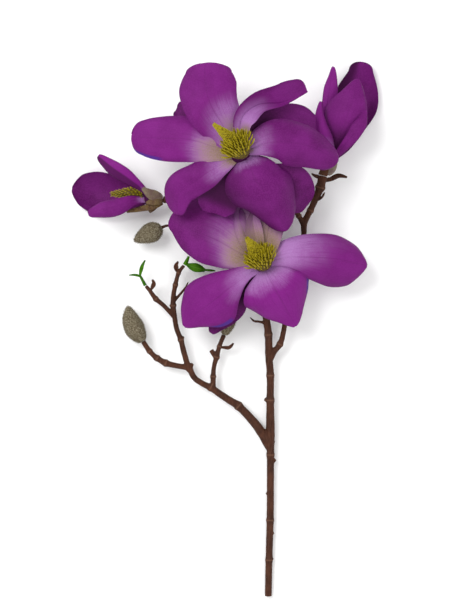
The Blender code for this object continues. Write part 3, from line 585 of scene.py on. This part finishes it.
make("upper_bloom_petals", "upper_petals", petal_cloth, [
    ball((14, 161, 77), (10, 10, 7)),
    blade([(10, 165, 78), (1, 181, 80), (-12, 202, 85), (-18, 223, 83), (-18, 243, 72)],
          (7, 14, 21.5, 24.5, 24.5, 18.5, 7), (6, 13, 21.5, 26, 28, 23.5, 9), bend=(20, -15, -30),
          ripple=1.6, pale=0.40, glow=0.66, glow_at=-0.45, tone=0.6, seed=1),
    blade([(8, 162, 78), (-12, 167, 80), (-34, 173, 80), (-59, 174, 75), (-85.5, 176, 64)],
          (7, 12, 18.5, 21, 20, 15.5, 3), (7, 14, 19, 21, 20.5, 16, 3), bend=(10, -30, -30), tip=0.8,
          ripple=1.6, pale=0.47, glow=0.62, glow_at=0.3, tone=0.7, violet=0.86, seed=2),
    blade([(9, 157, 77), (-9, 147, 80), (-27, 135, 79), (-42, 123, 69), (-43, 105, 58)],
          (5, 9, 13.5, 13.5, 13, 8.5, 2), (5, 10, 13.5, 16, 17, 13.5, 2), bend=(0, -40, -30), tip=0.6,
          ripple=1.4, pale=0.27, glow=0.46, glow_at=0.3, tone=0.5, seed=3),
    blade([(18, 157, 78), (23, 146, 87), (30, 132, 90), (42, 116, 85), (56, 90, 66)],
          (6, 18, 26, 30, 30, 20, 2), (7, 25, 31, 31, 27, 15, 2),
          bend=(-20, -55, -50), fold=(0, -8, -8), tip=0.5,
          ripple=1.6, crease=0.7, pale=0.04, glow=0.29, glow_at=0.1, tone=0.42, dark_side=-0.3, seed=4),
    blade([(19, 162, 78), (35, 168, 87), (55, 170, 90), (81, 165, 83), (103, 153, 68)],
          (6, 16, 22, 22, 19, 14, 3), (4, 8, 14.5, 22, 20, 14, 3),
          bend=(-10, -50, -50), fold=(0, -6, -6), tip=0.7,
          ripple=1.6, crease=0.7, pale=0.14, glow=0.46, glow_at=-0.1, tone=0.36, seed=5),
    blade([(14, 167, 78), (15, 191, 83), (30, 204, 82), (53, 206.5, 78), (75, 217, 72)],
          (4, 6, 10.5, 15, 19.5, 16.5, 6), (5, 11, 15, 10.5, 4, 1.5, 0.6),
          bend=(0, 10, 0), fold=(20, 35, 25), tip=0.8, ripple=1.2, pale=0.30, glow=0.78, glow_at=-0.6,
          tone=0.45, seed=6),
    blade([(18, 166, 76), (39, 185, 74), (57, 192, 68), (72, 192, 60), (83, 189, 52)],
          (5, 11, 13.5, 13.5, 11.5, 8, 3), (5, 11, 13.5, 13.5, 12.5, 10, 4),
          bend=(0, 25, 20), ripple=1.2, tone=0.35, deep=0.5, seed=7),
    blade([(9, 166, 75), (-10, 180, 73), (-23, 189, 68), (-35, 198, 62), (-44.5, 202, 56)],
          (5, 9, 11, 12, 10.5, 8, 4), bend=(0, 20, 10), ripple=1.2, tone=0.0, seed=8),
    blade([(19, 157, 75), (43, 145, 72), (60, 137, 64), (70, 124, 54), (67, 107, 45)],
          (2, 3.5, 11, 15.5, 12.5, 6.5, 1.5), (5, 11, 14, 15, 12, 6.5, 1.5), bend=(0, 20, 10), tip=0.5,
          ripple=1.2, tone=0.05, seed=9),
    blade([(11, 154, 75), (3, 134, 72), (-3, 122, 66), (-7, 113, 61), (-9, 106, 57)],
          (5, 11, 15, 17, 16, 12, 6), (5, 11, 16, 19, 18, 12.5, 6), bend=(0, 25, 20),
          ripple=1.2, tone=0.25, deep=0.85, seed=10),
])

make("lower_bloom_petals", "lower_petals", petal_cloth, [
    ball((34, 60, 46), (9, 9, 6.5)),
    blade([(29, 62, 49), (10, 72, 55), (-10, 83, 55), (-31, 92, 47), (-50, 104, 38)],
          (7, 15, 22, 25, 20.5, 11.5, 3), (8, 24, 34, 40, 39.5, 28, 5), bend=(-10, -35, -35), tip=0.8,
          ripple=1.8, pale=0.54, glow=0.66, glow_at=-0.25, tone=0.35, seed=11),
    blade([(30, 65, 48), (25, 79, 52), (20, 93, 51), (16, 108, 46), (12, 123, 42)],
          (4, 9, 12, 12, 9, 6, 2), (4, 10, 14, 15, 13, 9, 2), fold=(20, 25, 20), ripple=1.2,
          pale=0.95, glow=1.2, tone=0.1, seed=12),
    blade([(36, 65, 48), (38, 79, 53), (40, 93, 53), (45, 108, 48), (51, 123, 42)],
          (5, 13, 20, 21, 17, 9, 2), (5, 10, 13, 14, 12, 7, 2), bend=(10, 15, 10),
          ripple=1.2, pale=0.95, glow=1.1, glow_at=0.2, tone=0.2, dark_side=0.18, seed=13),
    # Its lavender reaches far along it, which also paints the highlight on its crest.
    blade([(39, 62, 49), (59, 66, 55), (81, 66, 55), (106, 64, 47), (131, 58.5, 36)],
          (6, 15, 20.5, 23.5, 24, 17, 2), (5, 8, 16, 23, 27, 21.5, 2),
          bend=(-10, -50, -50), fold=(0, -6, -6), tip=0.2,
          ripple=1.6, pale=0.14, glow=0.81, glow_at=0.6, tone=0.7, seed=14),
    blade([(36, 56, 49), (42, 44, 59), (49, 31, 58), (57, 17, 48), (65.5, 3, 36)],
          (6, 20, 30, 35, 26.5, 12, 2), (6, 25, 31, 30, 21.5, 9, 2), bend=(-10, -50, -45), tip=0.1,
          ripple=1.6, pale=0.03, glow=0.45, glow_at=0.1, tone=1.0, violet=0.64, seed=15),
    blade([(29, 56, 49), (11, 43, 57), (-6, 30, 56), (-23, 17, 47), (-38, 3, 36)],
          (5, 5, 14.5, 25.5, 23, 9.5, 2), (6, 11, 19, 24, 25, 14, 2),
          bend=(-10, -45, -40), tip=0.1, ripple=1.6, pale=0.03, glow=0.48, glow_at=0.2, tone=0.75,
          violet=0.68, seed=16),
    blade([(30, 54, 45), (14, 36, 44), (5, 23, 40), (-3, 11, 34), (-13, -3.5, 28)],
          (4, 8, 13, 15, 12, 6, 1.5), bend=(0, -20, -10), tip=0.4, ripple=1.0, tone=0.0, deep=0.6, seed=17),
])

# The petals of the two half-open blooms.
# The same cloth, cupped like a tulip: three petals on the left bloom and five on the right one.

make("left_bloom_petal_cup", "left_bloom_petals", petal_cloth, [
    ball((-70, 120, 22), (6.1, 5.5, 6)),
    blade([(-70, 120, 18), (-88, 122, 9), (-107, 125, 2.2), (-124, 128, 0.63), (-142.5, 130, 5)],
          (3, 9, 17, 21, 20, 13.5, 2), (3, 9, 16.5, 19, 18.5, 14, 2), bend=(20, 50, 45), tip=0.15,
          crease=0, tone=0.22, seed=18),
    blade([(-70, 122, 24), (-79.5, 132.5, 31), (-90, 141, 35), (-103, 150, 35), (-117, 160.5, 28)],
          (2, 2.5, 6, 8.5, 8.5, 5.5, 1.5), (3, 3.5, 4.5, 6, 5.5, 3.5, 1), bend=(-10, -30, -20),
          roll=(5, 15, 10), tip=0.5, ripple=0.8, glow=0.25, tone=1.0, dark_side=2, seed=19),
    blade([(-73.5, 119.5, 25), (-86, 118, 36), (-100, 112.5, 41), (-114, 109.5, 41), (-126, 106, 36)],
          (2.2, 3.5, 7, 8, 7, 4.5, 1.5), (2.5, 4.5, 6.5, 8, 7.5, 5, 1.5), bend=(-30, -60, -50), tip=0.6,
          ripple=0.8, glow=0.22, tone=0.5, seed=20),
])

make("right_bloom_petal_cup", "right_bloom_petals", petal_cloth, [
    ball((98, 156, 26), (6, 6, 7)),
    blade([(99, 158, 20), (112, 180, 6), (120, 202, 1.25), (125, 225, 1.25), (127, 248.5, 8)],
          (4, 10, 16, 19, 19.2, 11, 1.5), (4, 10, 14.5, 20, 17.6, 11.5, 1.5), bend=(20, 50, 45),
          crease=0, tone=0.3, dark_side=0.6, seed=21),
    blade([(100, 160, 27), (107, 181, 36), (113, 197, 40), (118, 214, 41), (122, 230.5, 36)],
          (3, 11, 19, 20.5, 14.5, 7, 1), (3, 8, 15, 17, 13, 7, 1), bend=(-30, -50, -40), tip=0.15,
          ripple=1.0, tone=0.5, deep=0.40, seed=22),
    blade([(96, 160, 26), (93, 184, 28), (94, 203, 28), (97, 223, 27), (100, 243, 23)],
          (3, 6, 6, 5, 5.5, 2.5, 0.8), (3, 7, 9, 8.5, 7.5, 4.2, 0.8), bend=(-10, -30, -20), tip=0.3,
          ripple=0.8, tone=0.8, seed=23),
    blade([(96, 157, 32), (92, 172, 42), (88, 185, 44), (87, 198, 41), (88, 210, 36)],
          (3, 7, 7, 5.5, 4, 2.3, 0.8), (3, 8, 9, 7.5, 4.5, 2.5, 1), bend=(-20, -60, -40), turn=(0, -40),
          tip=0.3, ripple=0.8, glow=0.4, tone=1.0, dark_side=-0.3, seed=24),
    blade([(100, 158, 32), (111, 171, 42), (120, 181, 45), (127, 190, 43), (130, 202, 37)],
          (2, 3, 4.8, 7.2, 7, 4, 1), (2, 4.5, 6, 5.5, 4, 2, 1), bend=(-20, -40, -30), tip=0.4,
          ripple=0.8, tone=0.45, seed=25),
])

# The stamens.
# Each bloom has a column of short hooked styles in rows, with a skirt of longer stamens round its foot,
# all of soft olive-yellow plastic. They stand round their column by the golden angle.


class Growth(Graph):
    """Short calls for the nodes that grow stamens and hair. The growth's inputs are named by their kind."""

    family = "GeometryNode"

    def __init__(self, name, **titles):
        super().__init__(bpy.data.node_groups.new(name, "GeometryNodeTree"))
        for kind, names in dict(Geometry=["Geometry"], Material=["Material"], **titles).items():
            for title in names:
                self.tree.interface.new_socket(title, in_out="INPUT", socket_type="NodeSocket" + kind)
        self.tree.interface.new_socket("Geometry", in_out="OUTPUT", socket_type="NodeSocketGeometry")
        self.given = self.node("NodeGroupInput").outputs

    def call(self, kind, settings=None, **inputs):
        """The first output of a new node."""
        return self.outputs(kind, settings, **inputs)[0]

    def vector_math(self, operation, *values):
        return self.in_order("ShaderNodeVectorMath", *values, operation=operation)

    def scaled(self, vector, scale):
        return self.call("ShaderNodeVectorMath", dict(operation="SCALE"), Vector=vector, Scale=scale)

    def blend(self, share, first, second):
        made = self.node("ShaderNodeMix")
        for index, value in ((0, share), (2, first), (3, second)):
            self.feed(made.inputs[index], value)
        return made.outputs[0]

    def chance(self, low, high, seed):
        made = self.node("FunctionNodeRandomValue", data_type="FLOAT")
        for index, value in ((2, low), (3, high), (8, seed)):
            self.feed(made.inputs[index], value)
        return made.outputs[1]

    def aimed(self, way):
        """The turn that points upright things that way."""
        return self.call("FunctionNodeAlignRotationToVector", dict(axis="Z"), Vector=way)

    def with_height(self, shape, height):
        """The shape with its height stored, as a share, for the material."""
        return self.call("StoreNamedAttribute", dict(data_type="FLOAT", domain="POINT"), Geometry=shape,
                         Name="up_bristle", Value=height)

    def finish(self, parts):
        """Join the parts, make instances real and set the material."""
        join = self.node("JoinGeometry")
        for part in parts:
            self.tree.links.new(part, join.inputs[0])
        real = self.call("RealizeInstances", Geometry=join.outputs[0])
        smooth = self.call("SetShadeSmooth", Geometry=real)
        done = self.call("SetMaterial", Geometry=smooth, Material=self.given["Material"])
        self.tree.links.new(done, self.node("NodeGroupOutput").inputs[0])


def grown(piece, growth, values):
    """The piece's mesh after the growth has been made on it with these inputs."""
    modifier = piece.modifiers.new("growth", "NODES")
    modifier.node_group = growth.tree
    for item in growth.tree.interface.items_tree:
        if item.in_out == "INPUT" and item.name in values:
            modifier[item.identifier] = values[item.name]
    return baked(piece)


# The golden angle, in degrees, by which each bristle stands further round the column than the one before.
GOLDEN_ANGLE = 137.508
# Bristles start inside the column, at this share of its radius.
ROOT_DEPTH = 0.85
# The lean of a bristle varies by up to this angle either way, in radians.
LEAN_SPREAD = 0.13
# The way to the front petal, which stands up close to the column of an open bloom.
FRONT = (0.35, -0.94, 0)


def stamen_growth():
    """Bristles set round a column, whose line is the given mesh and whose radius is its column_radius."""
    growth = Growth(
        "stamen_growth",
        Int=["Count", "Seed"],
        Bool=["Column"],
        Float=["First Share", "Last Share", "Foot Length", "Tip Length", "Foot Lean", "Tip Lean", "Held By",
               "Slimness", "Curl"],
        Vector=["Least Rise"])
    given = growth.given
    line = growth.call("MeshToCurve", Mesh=given["Geometry"])
    line = growth.call("ResampleCurve", Curve=line, Count=40)
    radius = growth.call("InputNamedAttribute", dict(data_type="FLOAT"), Name="column_radius")
    ring = growth.call("CurvePrimitiveCircle", Resolution=14, Radius=1.0)
    column = growth.call("CurveToMesh", Curve=line, Profile_Curve=ring, Scale=radius, Fill_Caps=True)
    column = growth.in_order("Switch", given["Column"], None, column, input_type="GEOMETRY")

    # Where each bristle stands: its share of the way up the column, and its place round it.
    index = growth.call("InputIndex")
    order = growth.math("DIVIDE", growth.plus(index, 0.5), given["Count"])
    share = growth.blend(order, given["First Share"], given["Last Share"])
    column_radius, centre, axis, normal = growth.outputs(
        "SampleCurve", dict(mode="FACTOR", data_type="FLOAT"), Curves=line, Value=radius, Factor=share)
    turn = growth.times(index, math.radians(GOLDEN_ANGLE))
    out = growth.call("ShaderNodeVectorRotate", dict(rotation_type="AXIS_ANGLE"), Vector=normal, Axis=axis,
                      Angle=turn)
    foot = growth.vector_math("ADD", centre, growth.scaled(out, growth.times(column_radius, ROOT_DEPTH)))
    points = growth.call("SetPosition", Geometry=growth.call("Points", Count=given["Count"]), Position=foot)

    # Which way it points, and how long it is.
    lean = growth.plus(growth.blend(order, given["Foot Lean"], given["Tip Lean"]),
                       growth.chance(-LEAN_SPREAD, LEAN_SPREAD, given["Seed"]))
    facing = growth.node("ShaderNodeVectorMath", operation="DOT_PRODUCT")
    growth.feed(facing.inputs[0], out)
    growth.feed(facing.inputs[1], FRONT)
    held = growth.times(growth.math("MAXIMUM", facing.outputs["Value"], 0.0), given["Held By"])
    lean = growth.minus(lean, held)
    way = growth.vector_math("ADD", growth.scaled(axis, growth.math("COSINE", lean)),
                             growth.scaled(out, growth.math("SINE", lean)))
    way = growth.vector_math("MAXIMUM", way, given["Least Rise"])
    turned = growth.call("FunctionNodeAlignRotationToVector", dict(axis="X", pivot_axis="Z"),
                         Rotation=growth.aimed(way), Vector=out)
    length = growth.times(growth.blend(order, given["Foot Length"], given["Tip Length"]),
                          growth.chance(0.82, 1.12, growth.plus(given["Seed"], 7.0)))

    # One bristle, 1 unit long: it bends inwards and is thickest halfway up.
    end = growth.call("ShaderNodeCombineXYZ", X=growth.times(given["Curl"], -1.0), Z=0.95)
    bristle = growth.call("CurveQuadraticBezier", Resolution=6, Start=(0, 0, 0), Middle=(0, 0, 0.55), End=end)
    up = growth.call("SplineParameter")
    bristle = growth.with_height(bristle, up)
    full = growth.times(growth.times(up, growth.minus(1.0, up)), 2.4)
    thickness = growth.times(growth.plus(full, 0.4), given["Slimness"])
    small_ring = growth.call("CurvePrimitiveCircle", Resolution=5, Radius=1.0)
    bristle = growth.call("CurveToMesh", Curve=bristle, Profile_Curve=small_ring, Scale=thickness,
                          Fill_Caps=True)
    bristles = growth.call("InstanceOnPoints", Points=points, Instance=bristle, Rotation=turned, Scale=length)
    growth.finish([column, bristles])
    return growth


stamen_plastic, graph = new_finish("stamen_plastic", 0.5, specular=0.25)
uneven = graph.patches(graph.object_place(), 700, 0.35, 0.7, detail=2, roughness=0.6)
# Each bristle is dark brown at its foot, painted shade down among the others, and olive-yellow towards its
# tip.
height = graph.spread(graph.attribute("up_bristle"), 0.05, 0.75)
olive = graph.mix(height, (0.066, 0.043, 0.002, 1), (0.370, 0.300, 0.006, 1))
olive = graph.mix(graph.times(uneven, 0.5), olive, (0.160, 0.115, 0.005, 1))
graph.show(olive, graph.bump(uneven, 0.3, 0.0004))
stamens_growing = stamen_growth()
# How many pieces a column's line has.
COLUMN_STEPS = 24


def stamens(name, node, path, radii, layers):
    """A column along a path, with its layers of bristles."""
    meshes = []
    path = [Vector(point) for point in path]
    shares = [index / COLUMN_STEPS for index in range(COLUMN_STEPS + 1)]
    for number, inputs in enumerate(layers):
        line = bpy.data.meshes.new("line")
        edges = [(index, index + 1) for index in range(COLUMN_STEPS)]
        line.from_pydata([along(path, share) * MM for share in shares], edges, [])
        store(line, "column_radius", [along(radii, share) * MM for share in shares])
        inputs = dict(inputs, Column=number == 0, Seed=number + 3, Material=stamen_plastic)
        meshes.append(grown(new_piece("column", line), stamens_growing, inputs))
    make(name, node, stamen_plastic, meshes)


def layer(count, shares, lengths, leans, slimness, curl, held_by=0, least_rise=-1):
    """One layer's inputs, each pair from the column's foot to its tip, in millimetres and in degrees.

    Bristles that face the front petal stand held_by degrees steeper, and none rises less than
    least_rise, the share of its way that goes up.
    """
    return {
        "Count": count,
        "First Share": shares[0],
        "Last Share": shares[1],
        "Foot Length": lengths[0] * MM,
        "Tip Length": lengths[1] * MM,
        "Foot Lean": math.radians(leans[0]),
        "Tip Lean": math.radians(leans[1]),
        "Slimness": slimness,
        "Curl": curl,
        "Held By": math.radians(held_by),
        "Least Rise": (-1, -1, least_rise),
    }


STYLES = layer(420, (0.10, 0.98), (4.4, 2.2), (66, 30), 0.19, 0.40, held_by=10)
stamens("upper_bloom_stamens", "upper_stamens",
        [(14, 161.5, 84.3), (13.6, 163, 88), (6, 171.5, 95), (-10, 185, 103)], (3.6, 10, 5.4, 1.0),
        [STYLES, layer(110, (0.10, 0.40), (12.2, 9.0), (78, 55), 0.065, 0.30, held_by=46, least_rise=0.25)])
stamens("lower_bloom_stamens", "lower_stamens",
        [(34, 60.5, 52.8), (34, 62, 56.5), (28.5, 71, 63), (20, 83, 72)], (3.6, 10, 6.0, 1.0),
        [STYLES, layer(110, (0.12, 0.42), (11.4, 8.5), (73, 52), 0.065, 0.30, held_by=37, least_rise=0.25)])
stamens("left_bloom_stamens_column", "left_bloom_stamens",
        [(-76.8, 121, 22), (-86, 125.2, 26), (-97, 125.3, 27), (-105, 125, 26)], (2.8, 4.0, 2.6, 0.9),
        [layer(130, (0.05, 0.98), (4.8, 2.4), (72, 38), 0.15, 0.3)])
stamens("right_bloom_stamens_column", "right_bloom_stamens",
        [(101.5, 163.5, 24), (104, 172, 24), (108, 184, 23)], (2.2, 2.2, 1.0),
        [layer(70, (0.10, 0.98), (4.2, 3.0), (50, 30), 0.10, 0.3)])

# The two calyxes.
# Each half-open bloom sits in a small cup with pointed lobes of the same moulded cloth, olive-brown
# and speckled grey where the down shows.

husk, graph = new_finish("husk", 0.75, specular=0.15)
place = graph.object_place()
patches = graph.patches(place, 160, 0.38, 0.62, roughness=0.6)
down = graph.patches(place, 1500, 0.45, 0.65, detail=2, roughness=0.6)
base = graph.mix(patches, (0.068, 0.030, 0.013, 1), (0.130, 0.078, 0.022, 1))
grey = graph.mix(patches, (0.185, 0.125, 0.115, 1), (0.225, 0.190, 0.140, 1))
base = graph.mix(graph.attribute("tone"), base, grey)
base = graph.mix(graph.times(down, 0.28), base, (0.260, 0.205, 0.160, 1))
base = graph.mix(graph.times(graph.attribute("deep"), 0.85), base, (0.075, 0.026, 0.014, 1))
graph.show(base, graph.bump(down, 0.4, 0.0004))


def round_solid(path, radii, tone=0.0, deep=0.0, **settings):
    work = bmesh.new()
    add_stem(work, path, radii, **settings)
    mesh = mesh_from(work, "round_solid")
    mark(mesh, **dict(PLAIN, tone=tone, deep=deep))
    return mesh


LOBE = dict(bend=(-40, -40, -40), thick=0.8, rows=20, columns=12, crease=0.25, ripple=0.3)
make("left_bloom_cup", "left_bloom_calyx", husk, [
    round_solid([(-57.6, 120, 22), (-60, 120, 22), (-63.5, 120, 22)], (3.4, 4.6, 5.4), sides=28, step=0.6),
    blade([(-58, 121, 26), (-63, 122.5, 30.5), (-69, 125, 34), (-76, 130, 37)],
          (2.5, 4, 4.8, 4.8, 3.6, 2, 0.6), seed=31, tone=0.55, **LOBE),
    blade([(-58, 119, 26), (-63, 118.5, 30), (-68, 117.5, 31), (-73, 116.5, 31)],
          (2.4, 3.6, 3.8, 3.4, 2.6, 1.4, 0.6), seed=34, tone=0.1, **LOBE),
    blade([(-58, 117.5, 24), (-67.5, 113.3, 28), (-78, 111.3, 25.8), (-91, 108.5, 26.5)],
          (2.4, 2.8, 3.0, 2.7, 2.2, 1.4, 0.6), seed=32, tone=0.0, **LOBE),
    round_solid([(-61, 118, 22), (-66, 112, 22), (-70, 108.5, 21)], (2.6, 2.2, 1.4), step=0.6),
])
make("right_bloom_cup", "right_bloom_calyx", husk, [
    round_solid([(90.6, 142.3, 24), (91, 143.9, 24.2), (92.4, 146, 24.8), (95, 148.6, 25.2)],
                (4.2, 4.3, 4.6, 4.8), deep=1.0, sides=28, step=0.6),
    blade([(95, 143, 27), (98.5, 147, 30.5), (101, 151, 33), (103, 156, 35.5)],
          (2.2, 3.0, 3.2, 2.8, 2.0, 1.2, 0.6), seed=33, tone=1.0, **dict(LOBE, bend=(-30, -30, -30))),
])

# The furry buds.
# Three closed buds flocked with short grey-olive hair that lies towards the point.


def fur_growth():
    """Short hairs all over a given mesh, lying towards a point."""
    growth = Growth(
        "fur_growth", Int=["Seed"], Float=["Density", "Length", "Slimness", "Lie"], Vector=["Towards"])
    given = growth.given
    spots = growth.outputs("DistributePointsOnFaces", Mesh=given["Geometry"], Density=given["Density"],
                           Seed=given["Seed"])
    place = growth.call("InputPosition")
    ahead = growth.vector_math("NORMALIZE", growth.vector_math("SUBTRACT", given["Towards"], place))
    lying = growth.plus(given["Lie"], growth.chance(-0.25, 0.25, given["Seed"]))
    way = growth.vector_math("ADD", spots["Normal"], growth.scaled(ahead, lying))
    hair = growth.call("MeshCone", Vertices=3, Radius_Top=0.0, Radius_Bottom=given["Slimness"], Depth=1.0)
    split = growth.outputs("ShaderNodeSeparateXYZ", Vector=growth.call("InputPosition"))
    hair = growth.with_height(hair, split[2])
    length = growth.times(given["Length"], growth.chance(0.6, 1.25, growth.plus(given["Seed"], 5.0)))
    hairs = growth.call("InstanceOnPoints", Points=spots["Points"], Instance=hair, Rotation=growth.aimed(way),
                        Scale=length)
    growth.finish([given["Geometry"], hairs])
    return growth


fur, graph = new_finish("fur", 0.85, specular=0.1)
place = graph.object_place()
tufts = graph.patches(place, 900, 0.40, 0.62, detail=2, roughness=0.7)
grey = graph.mix(tufts, (0.080, 0.058, 0.034, 1), (0.290, 0.255, 0.175, 1))
grey = graph.mix(graph.patches(place, 120, 0.35, 0.65, most=0.35, detail=2), grey, (0.140, 0.115, 0.070, 1))
hair_tips = graph.spread(graph.attribute("up_bristle"), 0.2, 1.0, 0.0, 0.45)
grey = graph.mix(hair_tips, grey, (0.370, 0.335, 0.255, 1))
graph.show(grey, graph.bump(tufts, 0.5, 0.0006))
fur_growing = fur_growth()

# A bud's outline: share of its length, share of its greatest radius, share of its bow to one side.
BUD_SHAPE = (
    (0.0, 0.38, 0.0),
    (0.12, 0.72, 0.4),
    (0.35, 1.0, 1.0),
    (0.62, 0.86, 1.0),
    (0.86, 0.5, 0.4),
    (1.0, 0.16, 0.0),
)
# The body's share of a bud's radius. The hair takes up the rest.
BODY_SHARE = 0.95
HAIRS_PER_SQUARE_METRE = 2.2e6
HAIR_LENGTH = 1.5


def bud(name, node, base, tip, radius, lean):
    base, tip, bow = Vector(base), Vector(tip), Vector(lean)
    path = [base.lerp(tip, share) + bow * bowed for share, wide, bowed in BUD_SHAPE]
    radii = [radius * wide * BODY_SHARE for share, wide, bowed in BUD_SHAPE]
    body = new_piece("bud_body", round_solid(path, radii, sides=36, step=0.9))
    values = {
        "Density": HAIRS_PER_SQUARE_METRE,
        "Length": HAIR_LENGTH * MM,
        "Slimness": 0.06,
        "Lie": 0.7,
        "Towards": tuple((tip + (tip - base) * 0.5) * MM),
        "Seed": 1,
        "Material": fur,
    }
    dress(new_piece(name, grown(body, fur_growing, values)), node, fur)


bud("furry_bud_left_bloom", "bud_by_left_bloom", (-59.05, 93.93, 18), (-84, 82, 16), 9.4, (1, 0.6, 0))
bud("furry_bud_low_left", "bud_low_left", (-76.4, -11.1, 14), (-90, 21, 15), 9.5, (-2.5, 0, 0))
bud("furry_bud_middle", "bud_middle", (-0.8, -5, 12.6), (7, 24, 12.5), 6.5, (1, 0, 0))

# The green shoots.
# Two soft green tips just out of their buds: one with two narrow leaflets, one with a single leaf.

leaf_green, graph = new_finish("leaf_green", 0.55, specular=0.08)
shape = graph.node("UVMap", uv_map="UVMap").outputs[0]
from_rib = graph.effect("place_on_blade", Shape=shape)["From Rib"]
patches = graph.patches(graph.object_place(), 220, 0.35, 0.65, roughness=0.6)
green = graph.mix(patches, (0.018, 0.080, 0.0008, 1), (0.045, 0.150, 0.0015, 1))
green = graph.mix(graph.spread(from_rib, 0.0, 0.16, 0.6, 0.0), green, (0.090, 0.220, 0.020, 1))
graph.show(green, graph.bump(patches, 0.25, 0.0005))

LEAFLET = dict(fold=(15, 15, 15), thick=0.8, rows=22, columns=12, crease=0.3)
make("left_leaf_shoot", "left_green_shoot", leaf_green, [
    round_solid([(-73.9, 40.4, 17), (-76, 44.5, 17), (-79, 50, 17)], (1.6, 1.4, 1.1), step=0.6),
    blade([(-79, 49, 17), (-78, 54, 18), (-76.5, 59, 19), (-74, 64, 19)],
          (1.0, 1.2, 1.7, 1.8, 1.3, 0.8, 0.4), **LEAFLET),
    blade([(-78.5, 49, 17), (-82, 50, 17), (-85, 50.3, 16.5), (-89, 50, 16)],
          (1.0, 1.1, 1.2, 1.1, 0.9, 0.6, 0.4), **LEAFLET),
])
make("right_leaf_shoot", "right_green_shoot", leaf_green, [
    round_solid([(-37.6, 59.6, 18.5), (-36, 62, 18.5), (-33.5, 67.5, 18)], (1.7, 1.9, 1.0), step=0.6),
    blade([(-37, 61, 18.5), (-32, 58.5, 20), (-25, 56.5, 21), (-18.5, 54.5, 20)],
          (1.0, 1.4, 3.0, 4.1, 3.4, 2.0, 0.8), **dict(LEAFLET, fold=(0, 0, 0), bend=(-20, -20, -20))),
    round_solid([(-20, 55, 20.2), (-14, 54.5, 20), (-9, 54, 19)], (0.9, 1.1, 0.6), step=0.6),
])

# The table, the light and the camera.
# A plain white table top, a soft window light from the upper left and a weaker one from the right.

# Half the table's width, the camera's height and the middle of the picture, in metres.
TABLE_REACH = 4.0
CAMERA_HEIGHT = 3.0
PICTURE_MIDDLE = 0.027
# What every lamp points at, in metres.
BLOOMS = Vector((0, 0.03, 0.04))

work = bmesh.new()
bmesh.ops.create_grid(work, x_segments=2, y_segments=2, size=TABLE_REACH)
table = new_piece("table", mesh_from(work, "table"))
table_paint, graph = new_finish("table_paint", 0.7)
speckle = graph.noise(graph.object_place(), 40, 2)
graph.show(graph.mix(speckle, (0.93, 0.93, 0.93, 1), (0.95, 0.95, 0.95, 1)))
table.data.materials.append(table_paint)

# Each lamp: its place in metres, its width in metres and its power in watts.
LAMPS = {
    "window": ((-1.0, 0.9, 2.0), 1.3, 34),
    "front": ((0.3, -1.5, 1.6), 1.4, 8),
    "right": ((1.5, 0.3, 1.4), 1.4, 5),
}
for name, (place, size, watts) in LAMPS.items():
    lamp = bpy.data.lights.new(name, "AREA")
    lamp.shape = "DISK"
    lamp.size = size
    lamp.energy = watts
    made = new_piece(name, lamp)
    made.location = place
    made.rotation_euler = (BLOOMS - Vector(place)).to_track_quat("-Z", "Y").to_euler()
scene = bpy.context.scene
scene.world = bpy.data.worlds.new("studio")
scene.world.use_nodes = True
sky = scene.world.node_tree.nodes["Background"].inputs
sky["Color"].default_value = (1, 1, 1, 1)
sky["Strength"].default_value = 0.85
scene.view_settings.view_transform = "Standard"

camera_data = bpy.data.cameras.new("camera")
camera_data.sensor_fit = "VERTICAL"
camera_data.sensor_height = 36
# With this lens the picture is 0.56 metres high at the table.
camera_data.lens = 193.02
camera = new_piece("camera", camera_data)
camera.location = (0, PICTURE_MIDDLE, CAMERA_HEIGHT)
scene.camera = camera
